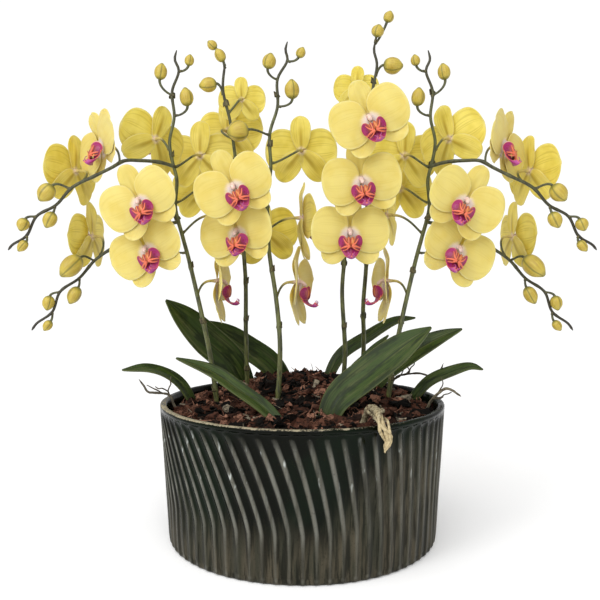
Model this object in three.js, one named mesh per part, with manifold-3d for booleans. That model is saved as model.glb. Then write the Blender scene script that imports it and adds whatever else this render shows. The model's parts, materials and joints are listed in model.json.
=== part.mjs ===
// Potted moth orchids: six flower spikes in a ribbed, glazed bowl filled with bark.
// Millimetres, +Z up, +X to the right of someone facing the front (-Y) side.
// The origin is the middle of the pot's flat underside.
// Everything that grows is measured from the top of the rim, so it rises with the pot.
import * as THREE from 'three';
import Module from 'manifold-3d';

const wasm = await Module();
wasm.setup();

// ---------------------------------------------------------------- driving sizes

const POT_RIM_RADIUS = 145;
const POT_FOOT_RADIUS = 137;
const POT_HEIGHT = 140;
const POT_WALL = 7;
const POT_FLOOR = 9;
const RIM_BAND = 9;
const RIM_ROUND = 2.5;
const FOOT_ROUND = 5;
const RIB_COUNT = 72;
const RIB_DEPTH = 2.2;
const RIB_STRAIGHT_HEIGHT = 45;
const RIB_SWIRL = 16;

const BARK_CLEARANCE = 0.5;
const BARK_BELOW_RIM = 11;
const BARK_MOUND = 26;
const BARK_ROUGHNESS = 2.5;

const CONTACT_GAP = 0.35;
const STEM_RADIUS = 2.8;
const STEM_TIP_RADIUS = 1.3;
const ARCH_RADIUS = 1.9;
const STALK_RADIUS = 1.3;
const LEAF_THICKNESS = 2.2;
const ROOT_RADIUS = 2.2;

const PETAL_REACH = 38;
const PETAL_HEIGHT = 45;
const SEPAL_LENGTH = 37;
const SEPAL_WIDTH = 21;
const LOWER_SEPAL_ANGLE = 55;
const SEPAL_BACK = 6;
const PETAL_FORWARD = 1.5;
const TEPAL_THICKNESS = 1.4;
const FLOWER_NECK = 9;
const LIP_DROP = 25;
const YOUNG_BLOOM = 0.64;
const LIP_REACH = 17;
const STALK_RISE = 14;

const HUB_SIDES = 6;
const RIM_POINTS = 4 * HUB_SIDES;
const DEGREE = Math.PI / 180;

// ---------------------------------------------------------------- materials

function finish(color, roughness, metalness = 0) {
  return new THREE.MeshStandardMaterial({ color, roughness, metalness });
}

const glaze = finish(0x24261f, 0.28);
const barkBrown = finish(0x4a3026, 0.95);
const stemGreen = finish(0x4d5231, 0.55);
const leafGreen = finish(0x2f4a22, 0.4);
const rootSilver = finish(0xb3a58a, 0.8);
const petalYellow = finish(0xe8d66c, 0.6);

// ---------------------------------------------------------------- solids

function toManifold(geometry) {
  const triVerts = new Uint32Array(geometry.index.array);
  const vertProperties = new Float32Array(geometry.attributes.position.array);
  return new wasm.Manifold(new wasm.Mesh({ numProp: 3, vertProperties, triVerts }));
}

function toGeometry(solid) {
  const mesh = solid.getMesh();
  const geometry = new THREE.BufferGeometry();
  geometry.setAttribute('position', new THREE.BufferAttribute(mesh.vertProperties, 3));
  geometry.setIndex(new THREE.BufferAttribute(mesh.triVerts, 1));
  return geometry;
}

function indexed(points, triangles) {
  const geometry = new THREE.BufferGeometry();
  geometry.setAttribute('position', new THREE.Float32BufferAttribute(points.flat(), 3));
  geometry.setIndex(triangles.flat());
  return geometry;
}

// A closed solid through equal rings of points, each ring counter-clockwise about the way forward.
function loft(rings) {
  const sides = rings[0].length;
  const points = rings.flat();
  const triangles = [];
  for (let ring = 0; ring < rings.length - 1; ring += 1) {
    for (let side = 0; side < sides; side += 1) {
      const a = ring * sides + side;
      const b = ring * sides + ((side + 1) % sides);
      triangles.push([a, b, b + sides], [a, b + sides, a + sides]);
    }
  }
  const first = points.length;
  const last = first + 1;
  points.push(middle(rings[0]), middle(rings[rings.length - 1]));
  const lastRing = (rings.length - 1) * sides;
  for (let side = 0; side < sides; side += 1) {
    const next = (side + 1) % sides;
    triangles.push([first, next, side], [last, lastRing + side, lastRing + next]);
  }
  return indexed(points, triangles);
}

function middle(ring) {
  const total = [0, 0, 0];
  for (const point of ring) {
    point.forEach((value, axis) => { total[axis] += value; });
  }
  return total.map((value) => value / ring.length);
}

function smooth(route) {
  const points = route.map((point) => new THREE.Vector3(...point));
  return new THREE.CatmullRomCurve3(points, false, 'centripetal');
}

// Rings along a curve. section(share) gives [across, out] pairs; out leans towards face.
function sweep(curve, steps, face, section) {
  const rings = [];
  for (let step = 0; step <= steps; step += 1) {
    const share = step / steps;
    const centre = curve.getPointAt(share);
    const forward = curve.getTangentAt(share);
    const across = new THREE.Vector3().crossVectors(forward, face).normalize();
    const out = new THREE.Vector3().crossVectors(across, forward);
    rings.push(section(share).map(([a, b]) => (
      centre.clone().addScaledVector(across, a).addScaledVector(out, b).toArray()
    )));
  }
  return loft(rings);
}

function polygon(sides, radius) {
  return Array.from({ length: sides }, (_, side) => {
    const angle = (2 * Math.PI * (side + 0.5)) / sides;
    return [-radius * Math.cos(angle), radius * Math.sin(angle)];
  });
}

// A face direction that is never along the curve's general run.
function clearFace(curve) {
  const run = curve.getPointAt(1).clone().sub(curve.getPointAt(0));
  const flat = Math.abs(run.y) > Math.abs(run.x) && Math.abs(run.y) > Math.abs(run.z);
  return flat ? new THREE.Vector3(1, 0, 0) : new THREE.Vector3(0, -1, 0);
}

function tube(curve, steps, sides, radiusAt) {
  return sweep(curve, steps, clearFace(curve), (share) => polygon(sides, radiusAt(share)));
}

// ---------------------------------------------------------------- pot

function outerRadius(height) {
  return POT_FOOT_RADIUS + (POT_RIM_RADIUS - POT_FOOT_RADIUS) * (height / POT_HEIGHT);
}

function innerRadius(height) {
  return outerRadius(height) - POT_WALL;
}

// How far the ribs lean round the pot: strongest at the front left, none at the back right.
function ribTurn(azimuth, height) {
  const swirlTop = POT_HEIGHT - RIM_BAND;
  const climbed = (height - RIB_STRAIGHT_HEIGHT) / (swirlTop - RIB_STRAIGHT_HEIGHT);
  const rise = THREE.MathUtils.clamp(climbed, 0, 1);
  const strength = (0.5 + 0.5 * Math.cos(azimuth + 50 * DEGREE)) ** 2.5;
  return -RIB_SWIRL * DEGREE * strength * rise ** 1.3;
}

// Azimuth runs from the front (-Y) towards +X.
function around(radius, azimuth, height) {
  return [radius * Math.sin(azimuth), -radius * Math.cos(azimuth), height];
}

function potOuter() {
  const bandFoot = POT_HEIGHT - RIM_BAND;
  const levels = [
    { height: 0, inset: FOOT_ROUND, ribbed: false },
    { height: FOOT_ROUND * 1.2, inset: 0, ribbed: true },
    { height: RIB_STRAIGHT_HEIGHT, inset: 0, ribbed: true },
    { height: (RIB_STRAIGHT_HEIGHT + bandFoot) / 2, inset: 0, ribbed: true },
    { height: bandFoot - 1.5, inset: 0, ribbed: true },
    { height: bandFoot, inset: 0, ribbed: false },
    { height: POT_HEIGHT - RIM_ROUND, inset: 0, ribbed: false },
    { height: POT_HEIGHT, inset: RIM_ROUND, ribbed: false },
  ];
  const points = RIB_COUNT * 2;
  const rings = levels.map(({ height, inset, ribbed }) => (
    Array.from({ length: points }, (_, index) => {
      const azimuth = (2 * Math.PI * index) / points;
      const valley = ribbed && index % 2 === 1 ? RIB_DEPTH : 0;
      const radius = outerRadius(height) - inset - valley;
      return around(radius, azimuth + ribTurn(azimuth, height), height);
    })
  ));
  return loft(rings);
}

function potInner() {
  const sides = 48;
  const top = POT_HEIGHT + 1;
  const levels = [
    [POT_FLOOR, innerRadius(POT_FLOOR)],
    [POT_HEIGHT - RIM_ROUND, innerRadius(POT_HEIGHT)],
    [top, innerRadius(POT_HEIGHT) + 1],
  ];
  return loft(levels.map(([height, radius]) => (
    Array.from({ length: sides }, (_, side) => around(radius, (2 * Math.PI * side) / sides, height))
  )));
}

function makePot() {
  return toGeometry(toManifold(potOuter()).subtract(toManifold(potInner())));
}

// ---------------------------------------------------------------- bark

const BARK_TOP = POT_HEIGHT - BARK_BELOW_RIM;

// The bark is heaped behind the middle, where the plants' crowns are.
function barkHeight(x, y) {
  const away = (x - 5) ** 2 + (y - 55) ** 2;
  const mound = BARK_MOUND * Math.exp(-away / (2 * 60 ** 2));
  const lumps = Math.sin(x * 0.21 + y * 0.13) * Math.cos(y * 0.19 - x * 0.07);
  return BARK_TOP + mound + BARK_ROUGHNESS * lumps;
}

function makeBark(pockets) {
  const sides = 24;
  const rim = innerRadius(BARK_TOP) - BARK_CLEARANCE;
  const shares = [0.05, 0.27, 0.5, 0.72, 0.89, 1];
  const top = shares.map((share) => (
    Array.from({ length: sides }, (_, side) => {
      const [x, y] = around(rim * share, (2 * Math.PI * side) / sides, 0);
      const wallHeight = BARK_TOP - BARK_ROUGHNESS;
      return [x, y, share === 1 ? wallHeight : barkHeight(x, y)];
    })
  ));
  const floor = POT_FLOOR + BARK_CLEARANCE;
  const bottom = Array.from({ length: sides }, (_, side) => (
    around(innerRadius(floor) - BARK_CLEARANCE, (2 * Math.PI * side) / sides, floor)
  ));
  let solid = toManifold(loft([bottom, ...top.reverse()]));
  for (const pocket of pockets) {
    const raised = pocket.clone().translate(0, 0, POT_HEIGHT);
    solid = solid.subtract(toManifold(raised));
  }
  return toGeometry(solid);
}

// ---------------------------------------------------------------- flower

// Distance from the hub to the far side of a tepal drawn as an ellipse, along an angle.
function tepalReach(angle, [cx, cy, lean, half, halfAcross]) {
  const cos = Math.cos(lean);
  const sin = Math.sin(lean);
  const dx = (Math.cos(angle) * cos + Math.sin(angle) * sin) / half;
  const dy = (Math.sin(angle) * cos - Math.cos(angle) * sin) / halfAcross;
  const ox = (cx * cos + cy * sin) / half;
  const oy = (cy * cos - cx * sin) / halfAcross;
  const square = dx * dx + dy * dy;
  const half2 = dx * ox + dy * oy;
  const rest = half2 * half2 - square * (ox * ox + oy * oy - 1);
  return rest < 0 ? 0 : (half2 + Math.sqrt(rest)) / square;
}

function tepals() {
  const petalHalf = PETAL_REACH * 0.47;
  const sepalHalf = SEPAL_LENGTH / 2;
  const lean = -LOWER_SEPAL_ANGLE * DEGREE;
  const sepalOut = SEPAL_LENGTH * 0.52;
  const petalOut = PETAL_REACH - petalHalf;
  const lower = [
    Math.cos(lean) * sepalOut, Math.sin(lean) * sepalOut, lean, sepalHalf, SEPAL_WIDTH * 0.52,
  ];
  return [
    { shape: [0, sepalOut, 90 * DEGREE, sepalHalf, SEPAL_WIDTH / 2], tip: -SEPAL_BACK },
    { shape: [petalOut, 1, 0, petalHalf, PETAL_HEIGHT / 2], tip: PETAL_FORWARD },
    { shape: [-petalOut, 1, 0, petalHalf, PETAL_HEIGHT / 2], tip: PETAL_FORWARD },
    { shape: lower, tip: -SEPAL_BACK },
    { shape: [-lower[0], lower[1], 180 * DEGREE - lean, lower[3], lower[4]], tip: -SEPAL_BACK },
  ];
}

function tepalRim() {
  const shapes = tepals();
  return Array.from({ length: RIM_POINTS }, (_, index) => {
    const angle = 90 * DEGREE + (2 * Math.PI * index) / RIM_POINTS;
    const reaches = shapes.map(({ shape }) => tepalReach(angle, shape));
    const reach = Math.max(...reaches);
    const { tip } = shapes[reaches.indexOf(reach)];
    return [reach * Math.cos(angle), reach * Math.sin(angle), tip];
  });
}

// A six-sided ring round the flower's middle line, which runs in the plane x = 0.
function hubRing(y, z, radius, tilt = 0) {
  return Array.from({ length: HUB_SIDES }, (_, side) => {
    const angle = 90 * DEGREE + (2 * Math.PI * side) / HUB_SIDES;
    const up = radius * Math.sin(angle);
    return [radius * Math.cos(angle), y + up * Math.cos(tilt), z + up * Math.sin(tilt)];
  });
}

// Neck behind the hub, tepals spread round it, column in front, then the lip
// hanging down and forward.
function makeFlower() {
  const rim = tepalRim();
  const thick = TEPAL_THICKNESS / 2;
  const rings = [
    hubRing(0, -FLOWER_NECK, 1.8),
    hubRing(0, -2 * thick, 3),
    rim.map(([x, y, z]) => [x, y, z - thick]),
    rim.map(([x, y, z]) => [x, y, z + thick]),
    hubRing(0, 2 * thick, 5),
    hubRing(-LIP_DROP * 0.3, LIP_REACH * 0.6, 7.5, 40 * DEGREE),
    hubRing(-LIP_DROP * 0.75, LIP_REACH * 0.75, 5, 70 * DEGREE),
    hubRing(-LIP_DROP, LIP_REACH, 1.2, 30 * DEGREE),
  ];
  const points = rings.flat();
  const triangles = [];
  let start = 0;
  for (let index = 0; index < rings.length - 1; index += 1) {
    triangles.push(...band(start, rings[index].length, rings[index + 1].length));
    start += rings[index].length;
  }
  for (let side = 1; side < HUB_SIDES - 1; side += 1) {
    triangles.push([0, side + 1, side], [start, start + side, start + side + 1]);
  }
  return indexed(points, triangles);
}

// Triangles between two neighbouring rings, whose counts are equal or divide each other.
function band(start, count, nextCount) {
  const next = start + count;
  const triangles = [];
  const most = Math.max(count, nextCount);
  for (let step = 0; step < most; step += 1) {
    const a = start + Math.floor((step * count) / most);
    const b = start + (Math.floor(((step + 1) * count) / most) % count);
    const c = next + Math.floor((step * nextCount) / most);
    const d = next + (Math.floor(((step + 1) * nextCount) / most) % nextCount);
    if (a !== b) {
      triangles.push([a, b, d]);
    }
    if (c !== d) {
      triangles.push([a, d, c]);
    }
  }
  return triangles;
}

const flowerGeometry = makeFlower();

// Turn 0 faces the front, +90 faces +X; roll turns the flower counter-clockwise as its face is seen.
// A sixth number is the size of a young bloom against a full one.
function flowerFrame([x, y, z, turn, roll, size = 1]) {
  const t = turn * DEGREE;
  const face = new THREE.Vector3(Math.sin(t), -Math.cos(t), 0);
  const level = new THREE.Vector3(Math.cos(t), Math.sin(t), 0);
  const r = roll * DEGREE;
  const right = level.clone().multiplyScalar(Math.cos(r));
  right.z = Math.sin(r);
  const up = new THREE.Vector3().crossVectors(face, right);
  return { hub: new THREE.Vector3(x, y, z), face, right, up, size };
}

// ---------------------------------------------------------------- spikes

const MIRRORED_SPIKE = {
  stem: [[-87, 14, -28], [-95, 10, 39], [-102, 6, 78], [-116, 2, 143], [-122, 0, 167], [-129, 0, 196],
    [-127, -2, 224], [-131, -2, 241], [-134, -2, 262], [-129, -2, 287], [-131, -2, 312], [-124, -2, 333],
    [-128, -2, 344], [-126, -2, 353]],
  arches: [
    [[-128, -2, 237], [-143, -8, 241], [-162, -14, 242], [-176, -20, 241], [-187, -25, 234],
      [-202, -28, 226], [-225, -30, 214], [-241, -30, 197], [-261, -28, 186], [-272, -26, 167],
      [-287, -24, 158], [-291, -24, 153]],
    [[-125, 0, 182], [-157, 10, 176], [-179, 18, 167], [-193, 22, 159], [-217, 22, 143],
      [-233, 18, 124], [-252, 14, 110], [-260, 12, 89], [-276, 10, 77], [-281, 10, 70]],
  ],
  buds: [
    [[-129, -2, 308], [-143, -5, 323], [-140, -6, 339], 12],
    [[-129, -2, 288], [-115, -5, 297], [-117, -7, 315], 13],
    [[-124, -2, 332], [-114, -4, 337], [-112, -5, 348], 9],
    [[-227, -30, 213], [-243, -33, 216], [-255, -36, 201], 16],
    [[-242, -30, 196], [-243, -32, 190], [-250, -34, 175], 13],
    [[-261, -28, 186], [-271, -30, 184], [-276, -32, 172], 12],
    [[-272, -26, 167], [-271, -28, 162], [-279, -30, 152], 9],
    [[-218, 22, 142], [-229, 10, 146], [-246, -2, 127], 19],
    [[-233, 18, 124], [-233, 15, 115], [-242, 12, 98], 13],
    [[-252, 14, 110], [-262, 12, 106], [-265, 10, 91], 12],
    [[-260, 12, 89], [-261, 11, 80], [-268, 9, 70], 9],
  ],
  flowers: [
    [-158, -42, 201, -8, 28],
    [-154, -28, 155, -14, 30],
    [-205, -4, 260, -50, 28],
    [-200 - PETAL_REACH, 20, 235, -116, 5],
    [-153, 15, 267, -138, 22],
    [-229, 46, 168, -104, 0],
    [-109, 48, 254, 172, -2],
    [-109, 84, 222, 175, 0],
    [-87, 32, 190, 120, 0],
    [-87, 24, 121, 87, 0],
  ],
};

const INNER_SPIKES = [
  {
    stem: [[-60, 62, -24], [-61, 45, 59], [-60, 30, 119], [-61, 20, 147], [-64, 8, 199], [-69, 2, 254],
      [-73, 0, 283], [-80, 0, 315], [-78, 0, 340]],
    arches: [],
    buds: [
      [[-80, 0, 309], [-86, -3, 320], [-103, -6, 317], 14],
      [[-78, 0, 338], [-79, -1, 342], [-86, -4, 354], 10],
      [[-78, 0, 336], [-87, 4, 356], [-95, 2, 363], 9],
    ],
    flowers: [
      [-67, -40, 215, -4, 28],
      [-65, -22, 172, -20, 13],
      [-63, 26, 309, 180, 0, YOUNG_BLOOM],
      [-80, 24 + PETAL_REACH, 282, 160, 0],
    ],
  },
  {
    stem: [[-27, -3, -30], [-23, -4, 37], [-23, -4, 63], [-27, -3, 106], [-34, 0, 153], [-35, 0, 184],
      [-36, 0, 205], [-32, 0, 236], [-33, 0, 270], [-25, 0, 298], [-25, 0, 325], [-15, 0, 344],
      [-17, 0, 354], [-15, 0, 362]],
    arches: [],
    buds: [
      [[-33, 0, 269], [-54, -12, 273], [-74, -18, 269], 20],
      [[-24, 0, 324], [-35, -4, 334], [-31, -6, 349], 13],
      [[-25, 0, 298], [-10, -5, 304], [-11, -7, 323], 14],
      [[-15, 0, 343], [-4, -4, 345], [1, -5, 355], 9],
    ],
    flowers: [
      [-1, 46, 259, 180, 0],
      [1, 26, 187, 98, 0],
      [-41, 64, 173, -165, -10],
      [-4, 10, 120, 75, 0],
    ],
  },
  {
    stem: [[42, 46, -24], [46, 36, 43], [45, 32, 63], [42, 24, 110], [44, 20, 143], [49, 16, 205],
      [53, 16, 267], [51, 16, 312]],
    arches: [],
    buds: [],
    flowers: [
      [47, -24, 172, 0, 1],
      [58, 46, 325, 180, 0, YOUNG_BLOOM],
    ],
  },
  {
    stem: [[66, 77, -24], [68, 60, 52], [66, 46, 92], [68, 32, 140], [67, 14, 205], [66, 4, 255],
      [71, 0, 315], [75, 0, 340], [72, 0, 353], [73, 0, 362]],
    arches: [],
    buds: [
      [[74, 0, 328], [81, -4, 338], [100, -7, 336], 16],
      [[73, 0, 361], [74, -1, 366], [77, -3, 378], 12],
      [[73, 0, 360], [85, 4, 382], [89, 3, 393], 10],
    ],
    flowers: [
      [63, -52, 278, -5, 24],
      [57, -38, 221, 0, 9],
    ],
  },
];

function mirrorPoint([x, y, z]) {
  return [-x, y, z];
}

function mirrorSpike({ stem, arches, buds, flowers }) {
  return {
    stem: stem.map(mirrorPoint),
    arches: arches.map((arch) => arch.map(mirrorPoint)),
    buds: buds.map(([from, base, tip, width]) => [...[from, base, tip].map(mirrorPoint), width]),
    flowers: flowers.map(([x, y, z, turn, roll, size]) => [-x, y, z, -turn, -roll, size]),
  };
}

const SPIKES = [MIRRORED_SPIKE, ...INNER_SPIKES, mirrorSpike(MIRRORED_SPIKE)];

function stemRadius(share) {
  return STEM_RADIUS + (STEM_TIP_RADIUS - STEM_RADIUS) * share;
}

function archRadius(share) {
  return ARCH_RADIUS + (STEM_TIP_RADIUS - ARCH_RADIUS) * share;
}

// A short stalk that leaves a stem and arrives along a given way.
function stalk(from, to, arriving) {
  const span = from.distanceTo(to);
  const before = to.clone().addScaledVector(arriving, -0.4 * span);
  const after = from.clone().lerp(before, 0.35);
  after.z -= 0.08 * span;
  const curve = new THREE.CubicBezierCurve3(from, after, before, to);
  return tube(curve, 3, 4, () => STALK_RADIUS);
}

function bud(base, tip, width) {
  const profile = [0.45, 1, 0.85, 0.1];
  const curve = new THREE.LineCurve3(base, tip);
  const steps = profile.length - 1;
  return tube(curve, steps, 5, (share) => (profile[Math.round(share * steps)] * width) / 2);
}

function nearestOn(curves, point) {
  let best = null;
  for (const curve of curves) {
    for (const candidate of curve.getSpacedPoints(60)) {
      if (best === null || candidate.distanceTo(point) < best.distanceTo(point)) {
        best = candidate;
      }
    }
  }
  return best;
}

// A flower's stalk leaves the stem a little below the flower's neck.
function flowerStalk(curves, flower) {
  const { hub, face, size } = flowerFrame(flower);
  const neck = hub.clone().addScaledVector(face, -FLOWER_NECK * size - CONTACT_GAP);
  const below = neck.clone();
  below.z -= STALK_RISE;
  return stalk(nearestOn(curves, below), neck, face);
}

function makeSpike({ stem, arches, buds, flowers }) {
  const stemCurve = smooth(stem);
  const archCurves = arches.map(smooth);
  const pieces = [tube(stemCurve, 17, 5, stemRadius)];
  for (const curve of archCurves) {
    pieces.push(tube(curve, 13, 4, archRadius));
  }
  for (const [from, base, tip, width] of buds) {
    const baseAt = new THREE.Vector3(...base);
    const tipAt = new THREE.Vector3(...tip);
    const way = tipAt.clone().sub(baseAt).normalize();
    const inside = baseAt.clone().addScaledVector(way, 2);
    pieces.push(stalk(new THREE.Vector3(...from), inside, way), bud(baseAt, tipAt, width));
  }
  for (const flower of flowers) {
    pieces.push(flowerStalk([stemCurve, ...archCurves], flower));
  }
  return toGeometry(wasm.Manifold.union(pieces.map(toManifold)));
}

// The room a stem takes in the bark: only its foot, a gap wider all round.
function stemPocket({ stem }) {
  const curve = smooth(stem);
  const route = [0, 0.04, 0.08, 0.12, 0.16].map((share) => curve.getPointAt(share).toArray());
  route[0][2] -= CONTACT_GAP;
  return tube(smooth(route), 5, 6, () => STEM_RADIUS + 2 * CONTACT_GAP);
}

// ---------------------------------------------------------------- leaves

// Each leaf: where it runs, its width, and the way its upper face looks.
const LEAVES = [
  {
    route: [[-57, 82, -20], [-78, 68, 25], [-106, 50, 56], [-128, 34, 82], [-144, 24, 101]],
    width: 38,
    face: [0.3, -0.9, 0.5],
  },
  {
    route: [[-8, 100, -18], [-37, 96, 22], [-70, 88, 47], [-105, 76, 74]],
    width: 30,
    face: [0.3, -0.9, 0.5],
  },
  {
    route: [[-8, -74, -26], [-37, -62, 3], [-63, -50, 19], [-89, -36, 34], [-126, -26, 46]],
    width: 17,
    face: [0.1, -0.6, 0.8],
  },
  {
    route: [[21, -60, -26], [32, -56, 7], [66, -48, 35], [99, -42, 60], [126, -38, 78]],
    width: 33,
    face: [-0.3, -0.9, 0.5],
  },
  {
    route: [[60, 50, -22], [84, 46, 14], [116, 38, 41], [147, 32, 60], [170, 28, 70]],
    width: 24,
    face: [-0.2, -0.8, 0.6],
  },
  {
    route: [[22, 98, -18], [43, 99, 30], [75, 98, 53], [107, 92, 73], [129, 86, 77]],
    width: 17,
    face: [-0.2, -0.7, 0.7],
  },
  {
    route: [[41, 22, -18], [53, 21, 24], [67, 19, 40], [90, 14, 65]],
    width: 11,
    face: [-0.3, -0.8, 0.5],
  },
];

// Leaves and roots that cross the rim are placed as
// [beyond the rim's edge, degrees round from the front, above the rim].
const RIM_LEAVES = [
  {
    route: [[-33, -103, -24], [-17, -99, 9], [-3, -96, 23], [16, -93, 30], [41, -90, 30]],
    width: 15,
    face: [0.2, -0.5, 0.8],
  },
  {
    route: [[-25, 113, -24], [-4, 106, 10], [14, 101, 22], [35, 98, 30], [46, 95, 28]],
    width: 16,
    face: [-0.2, -0.6, 0.8],
  },
];

const ROOTS = [
  {
    route: [[-24, -86, -26], [-14, -87, -6], [-8, -88, 5], [2, -88, 7],
      [14, -89, 8], [18, -90, 13], [24, -91, 20]],
    girth: 1,
  },
  {
    route: [[-58, 38, -22], [-37, 34, 6], [-15, 30, 10], [4, 27, 5],
      [6, 28, -2], [7, 29, -11], [6, 28, -22]],
    girth: 1.4,
  },
  {
    route: [[-24, 85, -24], [-14, 86, -2], [-7, 86, 7], [2, 87, 12], [10, 88, 9], [18, 89, 3]],
    girth: 1,
  },
  {
    route: [[-27, 124, -22], [-22, 123, 10], [-14, 120, 15], [-2, 116, 17],
      [11, 112, 15], [17, 110, 22], [19, 109, 30]],
    girth: 0.7,
  },
];

function overRim([out, degrees, up]) {
  return around(POT_RIM_RADIUS + out, degrees * DEGREE, up);
}

function leafHalfWidth(share, width) {
  const foot = 0.42 + 0.58 * Math.sin(Math.min(share / 0.45, 1) * 90 * DEGREE);
  const tip = share > 0.45 ? Math.cos(((share - 0.45) / 0.55) ** 1.8 * 86 * DEGREE) : 1;
  return (width / 2) * foot * tip;
}

function makeLeaf({ route, width, face }, grow = 0) {
  const curve = smooth(route);
  return sweep(curve, 8, new THREE.Vector3(...face), (share) => {
    const half = leafHalfWidth(share, width) + grow;
    const edge = 0.22 * leafHalfWidth(share, width);
    const top = LEAF_THICKNESS / 2 + grow;
    const thin = 0.35;
    return [
      [-half, edge - top * thin], [0, -top], [half, edge - top * thin],
      [half, edge + top * thin], [0, top], [-half, edge + top * thin],
    ].reverse();
  });
}

function makeRoot({ route, girth }, grow = 0) {
  const curve = smooth(route.map(overRim));
  return tube(curve, 10, 5, (share) => ROOT_RADIUS * girth * (1 - 0.35 * share ** 3) + grow);
}

// ---------------------------------------------------------------- the whole plant

const orchid = new THREE.Group();

function addNode(parent, name, geometry, material) {
  const mesh = new THREE.Mesh(geometry, material);
  mesh.name = name;
  parent.add(mesh);
  return mesh;
}

const growth = new THREE.Group();
growth.position.z = POT_HEIGHT;
orchid.add(growth);

const leaves = [
  ...LEAVES,
  ...RIM_LEAVES.map((leaf) => ({ ...leaf, route: leaf.route.map(overRim) })),
];
const pockets = [
  ...SPIKES.map(stemPocket),
  ...leaves.map((leaf) => makeLeaf(leaf, CONTACT_GAP)),
  ...ROOTS.map((root) => makeRoot(root, CONTACT_GAP)),
];

addNode(orchid, 'pot', makePot(), glaze);
addNode(orchid, 'potting_bark', makeBark(pockets), barkBrown);
leaves.forEach((leaf, index) => addNode(growth, `leaf_${index + 1}`, makeLeaf(leaf), leafGreen));
ROOTS.forEach((root, index) => addNode(growth, `aerial_root_${index + 1}`, makeRoot(root), rootSilver));
SPIKES.forEach((spike, index) => {
  addNode(growth, `spike_${index + 1}`, makeSpike(spike), stemGreen);
  spike.flowers.forEach((flower, place) => {
    const { hub, face, right, up, size } = flowerFrame(flower);
    const bloom = flowerGeometry.clone().scale(size, size, size);
    const node = addNode(growth, `flower_${index + 1}_${place + 1}`, bloom, petalYellow);
    node.position.copy(hub);
    node.quaternion.setFromRotationMatrix(new THREE.Matrix4().makeBasis(right, up, face));
  });
});

export default orchid;
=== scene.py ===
"""Potted moth orchids with arching yellow spikes, in a ribbed glazed bowl of bark.

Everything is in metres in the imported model's frame: +Z up, the front towards -Y, and the origin
in the middle of the pot's underside. Routes are written in millimetres from the top of the rim.
"""
from __future__ import annotations

import json
import logging
import math
import random
from dataclasses import dataclass, field
from enum import Enum
from typing import Callable, Sequence

import bmesh
import bpy
import numpy as np
from mathutils import Matrix, Vector, noise
from mathutils.bvhtree import BVHTree

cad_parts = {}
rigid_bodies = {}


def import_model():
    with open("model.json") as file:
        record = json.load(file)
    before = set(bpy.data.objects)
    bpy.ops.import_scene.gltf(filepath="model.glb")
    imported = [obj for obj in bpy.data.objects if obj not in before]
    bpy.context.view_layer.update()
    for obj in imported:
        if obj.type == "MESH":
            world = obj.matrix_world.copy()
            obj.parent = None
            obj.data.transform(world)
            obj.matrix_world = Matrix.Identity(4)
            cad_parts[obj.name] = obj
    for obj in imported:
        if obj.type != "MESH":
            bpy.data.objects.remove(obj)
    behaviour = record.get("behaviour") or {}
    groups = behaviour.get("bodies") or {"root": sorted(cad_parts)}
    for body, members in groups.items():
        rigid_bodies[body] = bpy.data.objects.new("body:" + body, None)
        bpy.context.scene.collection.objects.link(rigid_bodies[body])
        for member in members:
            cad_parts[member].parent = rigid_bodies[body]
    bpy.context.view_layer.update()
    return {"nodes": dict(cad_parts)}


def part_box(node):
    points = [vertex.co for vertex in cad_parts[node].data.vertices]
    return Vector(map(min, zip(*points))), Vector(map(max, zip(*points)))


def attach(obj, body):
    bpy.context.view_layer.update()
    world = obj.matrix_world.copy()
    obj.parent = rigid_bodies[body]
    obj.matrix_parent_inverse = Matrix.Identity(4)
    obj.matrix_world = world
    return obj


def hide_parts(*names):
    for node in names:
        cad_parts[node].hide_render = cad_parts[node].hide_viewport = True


for _left_over in list(bpy.data.objects):
    bpy.data.objects.remove(_left_over, do_unlink=True)
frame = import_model()

MM = 0.001
LOG = logging.getLogger("orchid")
Colour = tuple[float, float, float]
Point = Sequence[float]


# ------------------------------------------------------------------ small helpers

def srgb(red: int, green: int, blue: int) -> Colour:
    """Turns an eight-bit display colour into the linear colour that shaders take.

    Args:
        red, green, blue: from 0 to 255.

    Returns:
        The linear colour.
    """
    def linear(value: int) -> float:
        """Undoes the display curve for one channel."""
        share = value / 255
        return share / 12.92 if share <= 0.04045 else ((share + 0.055) / 1.055) ** 2.4
    return linear(red), linear(green), linear(blue)


def clamp(value: float, low: float = 0.0, high: float = 1.0) -> float:
    """Keeps a value between two limits."""
    return max(low, min(high, value))


def smoothstep(low: float, high: float, value: float) -> float:
    """Rises from 0 to 1 between two limits, with soft ends."""
    share = clamp((value - low) / (high - low))
    return share * share * (3 - 2 * share)


def wobble(place: Vector, scale: float, seed: float = 0.0) -> float:
    """Smooth noise from about -1 to 1 at a place, with features about scale metres across."""
    return noise.noise(place / scale + Vector((seed, seed * 0.37, -seed)))


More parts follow.
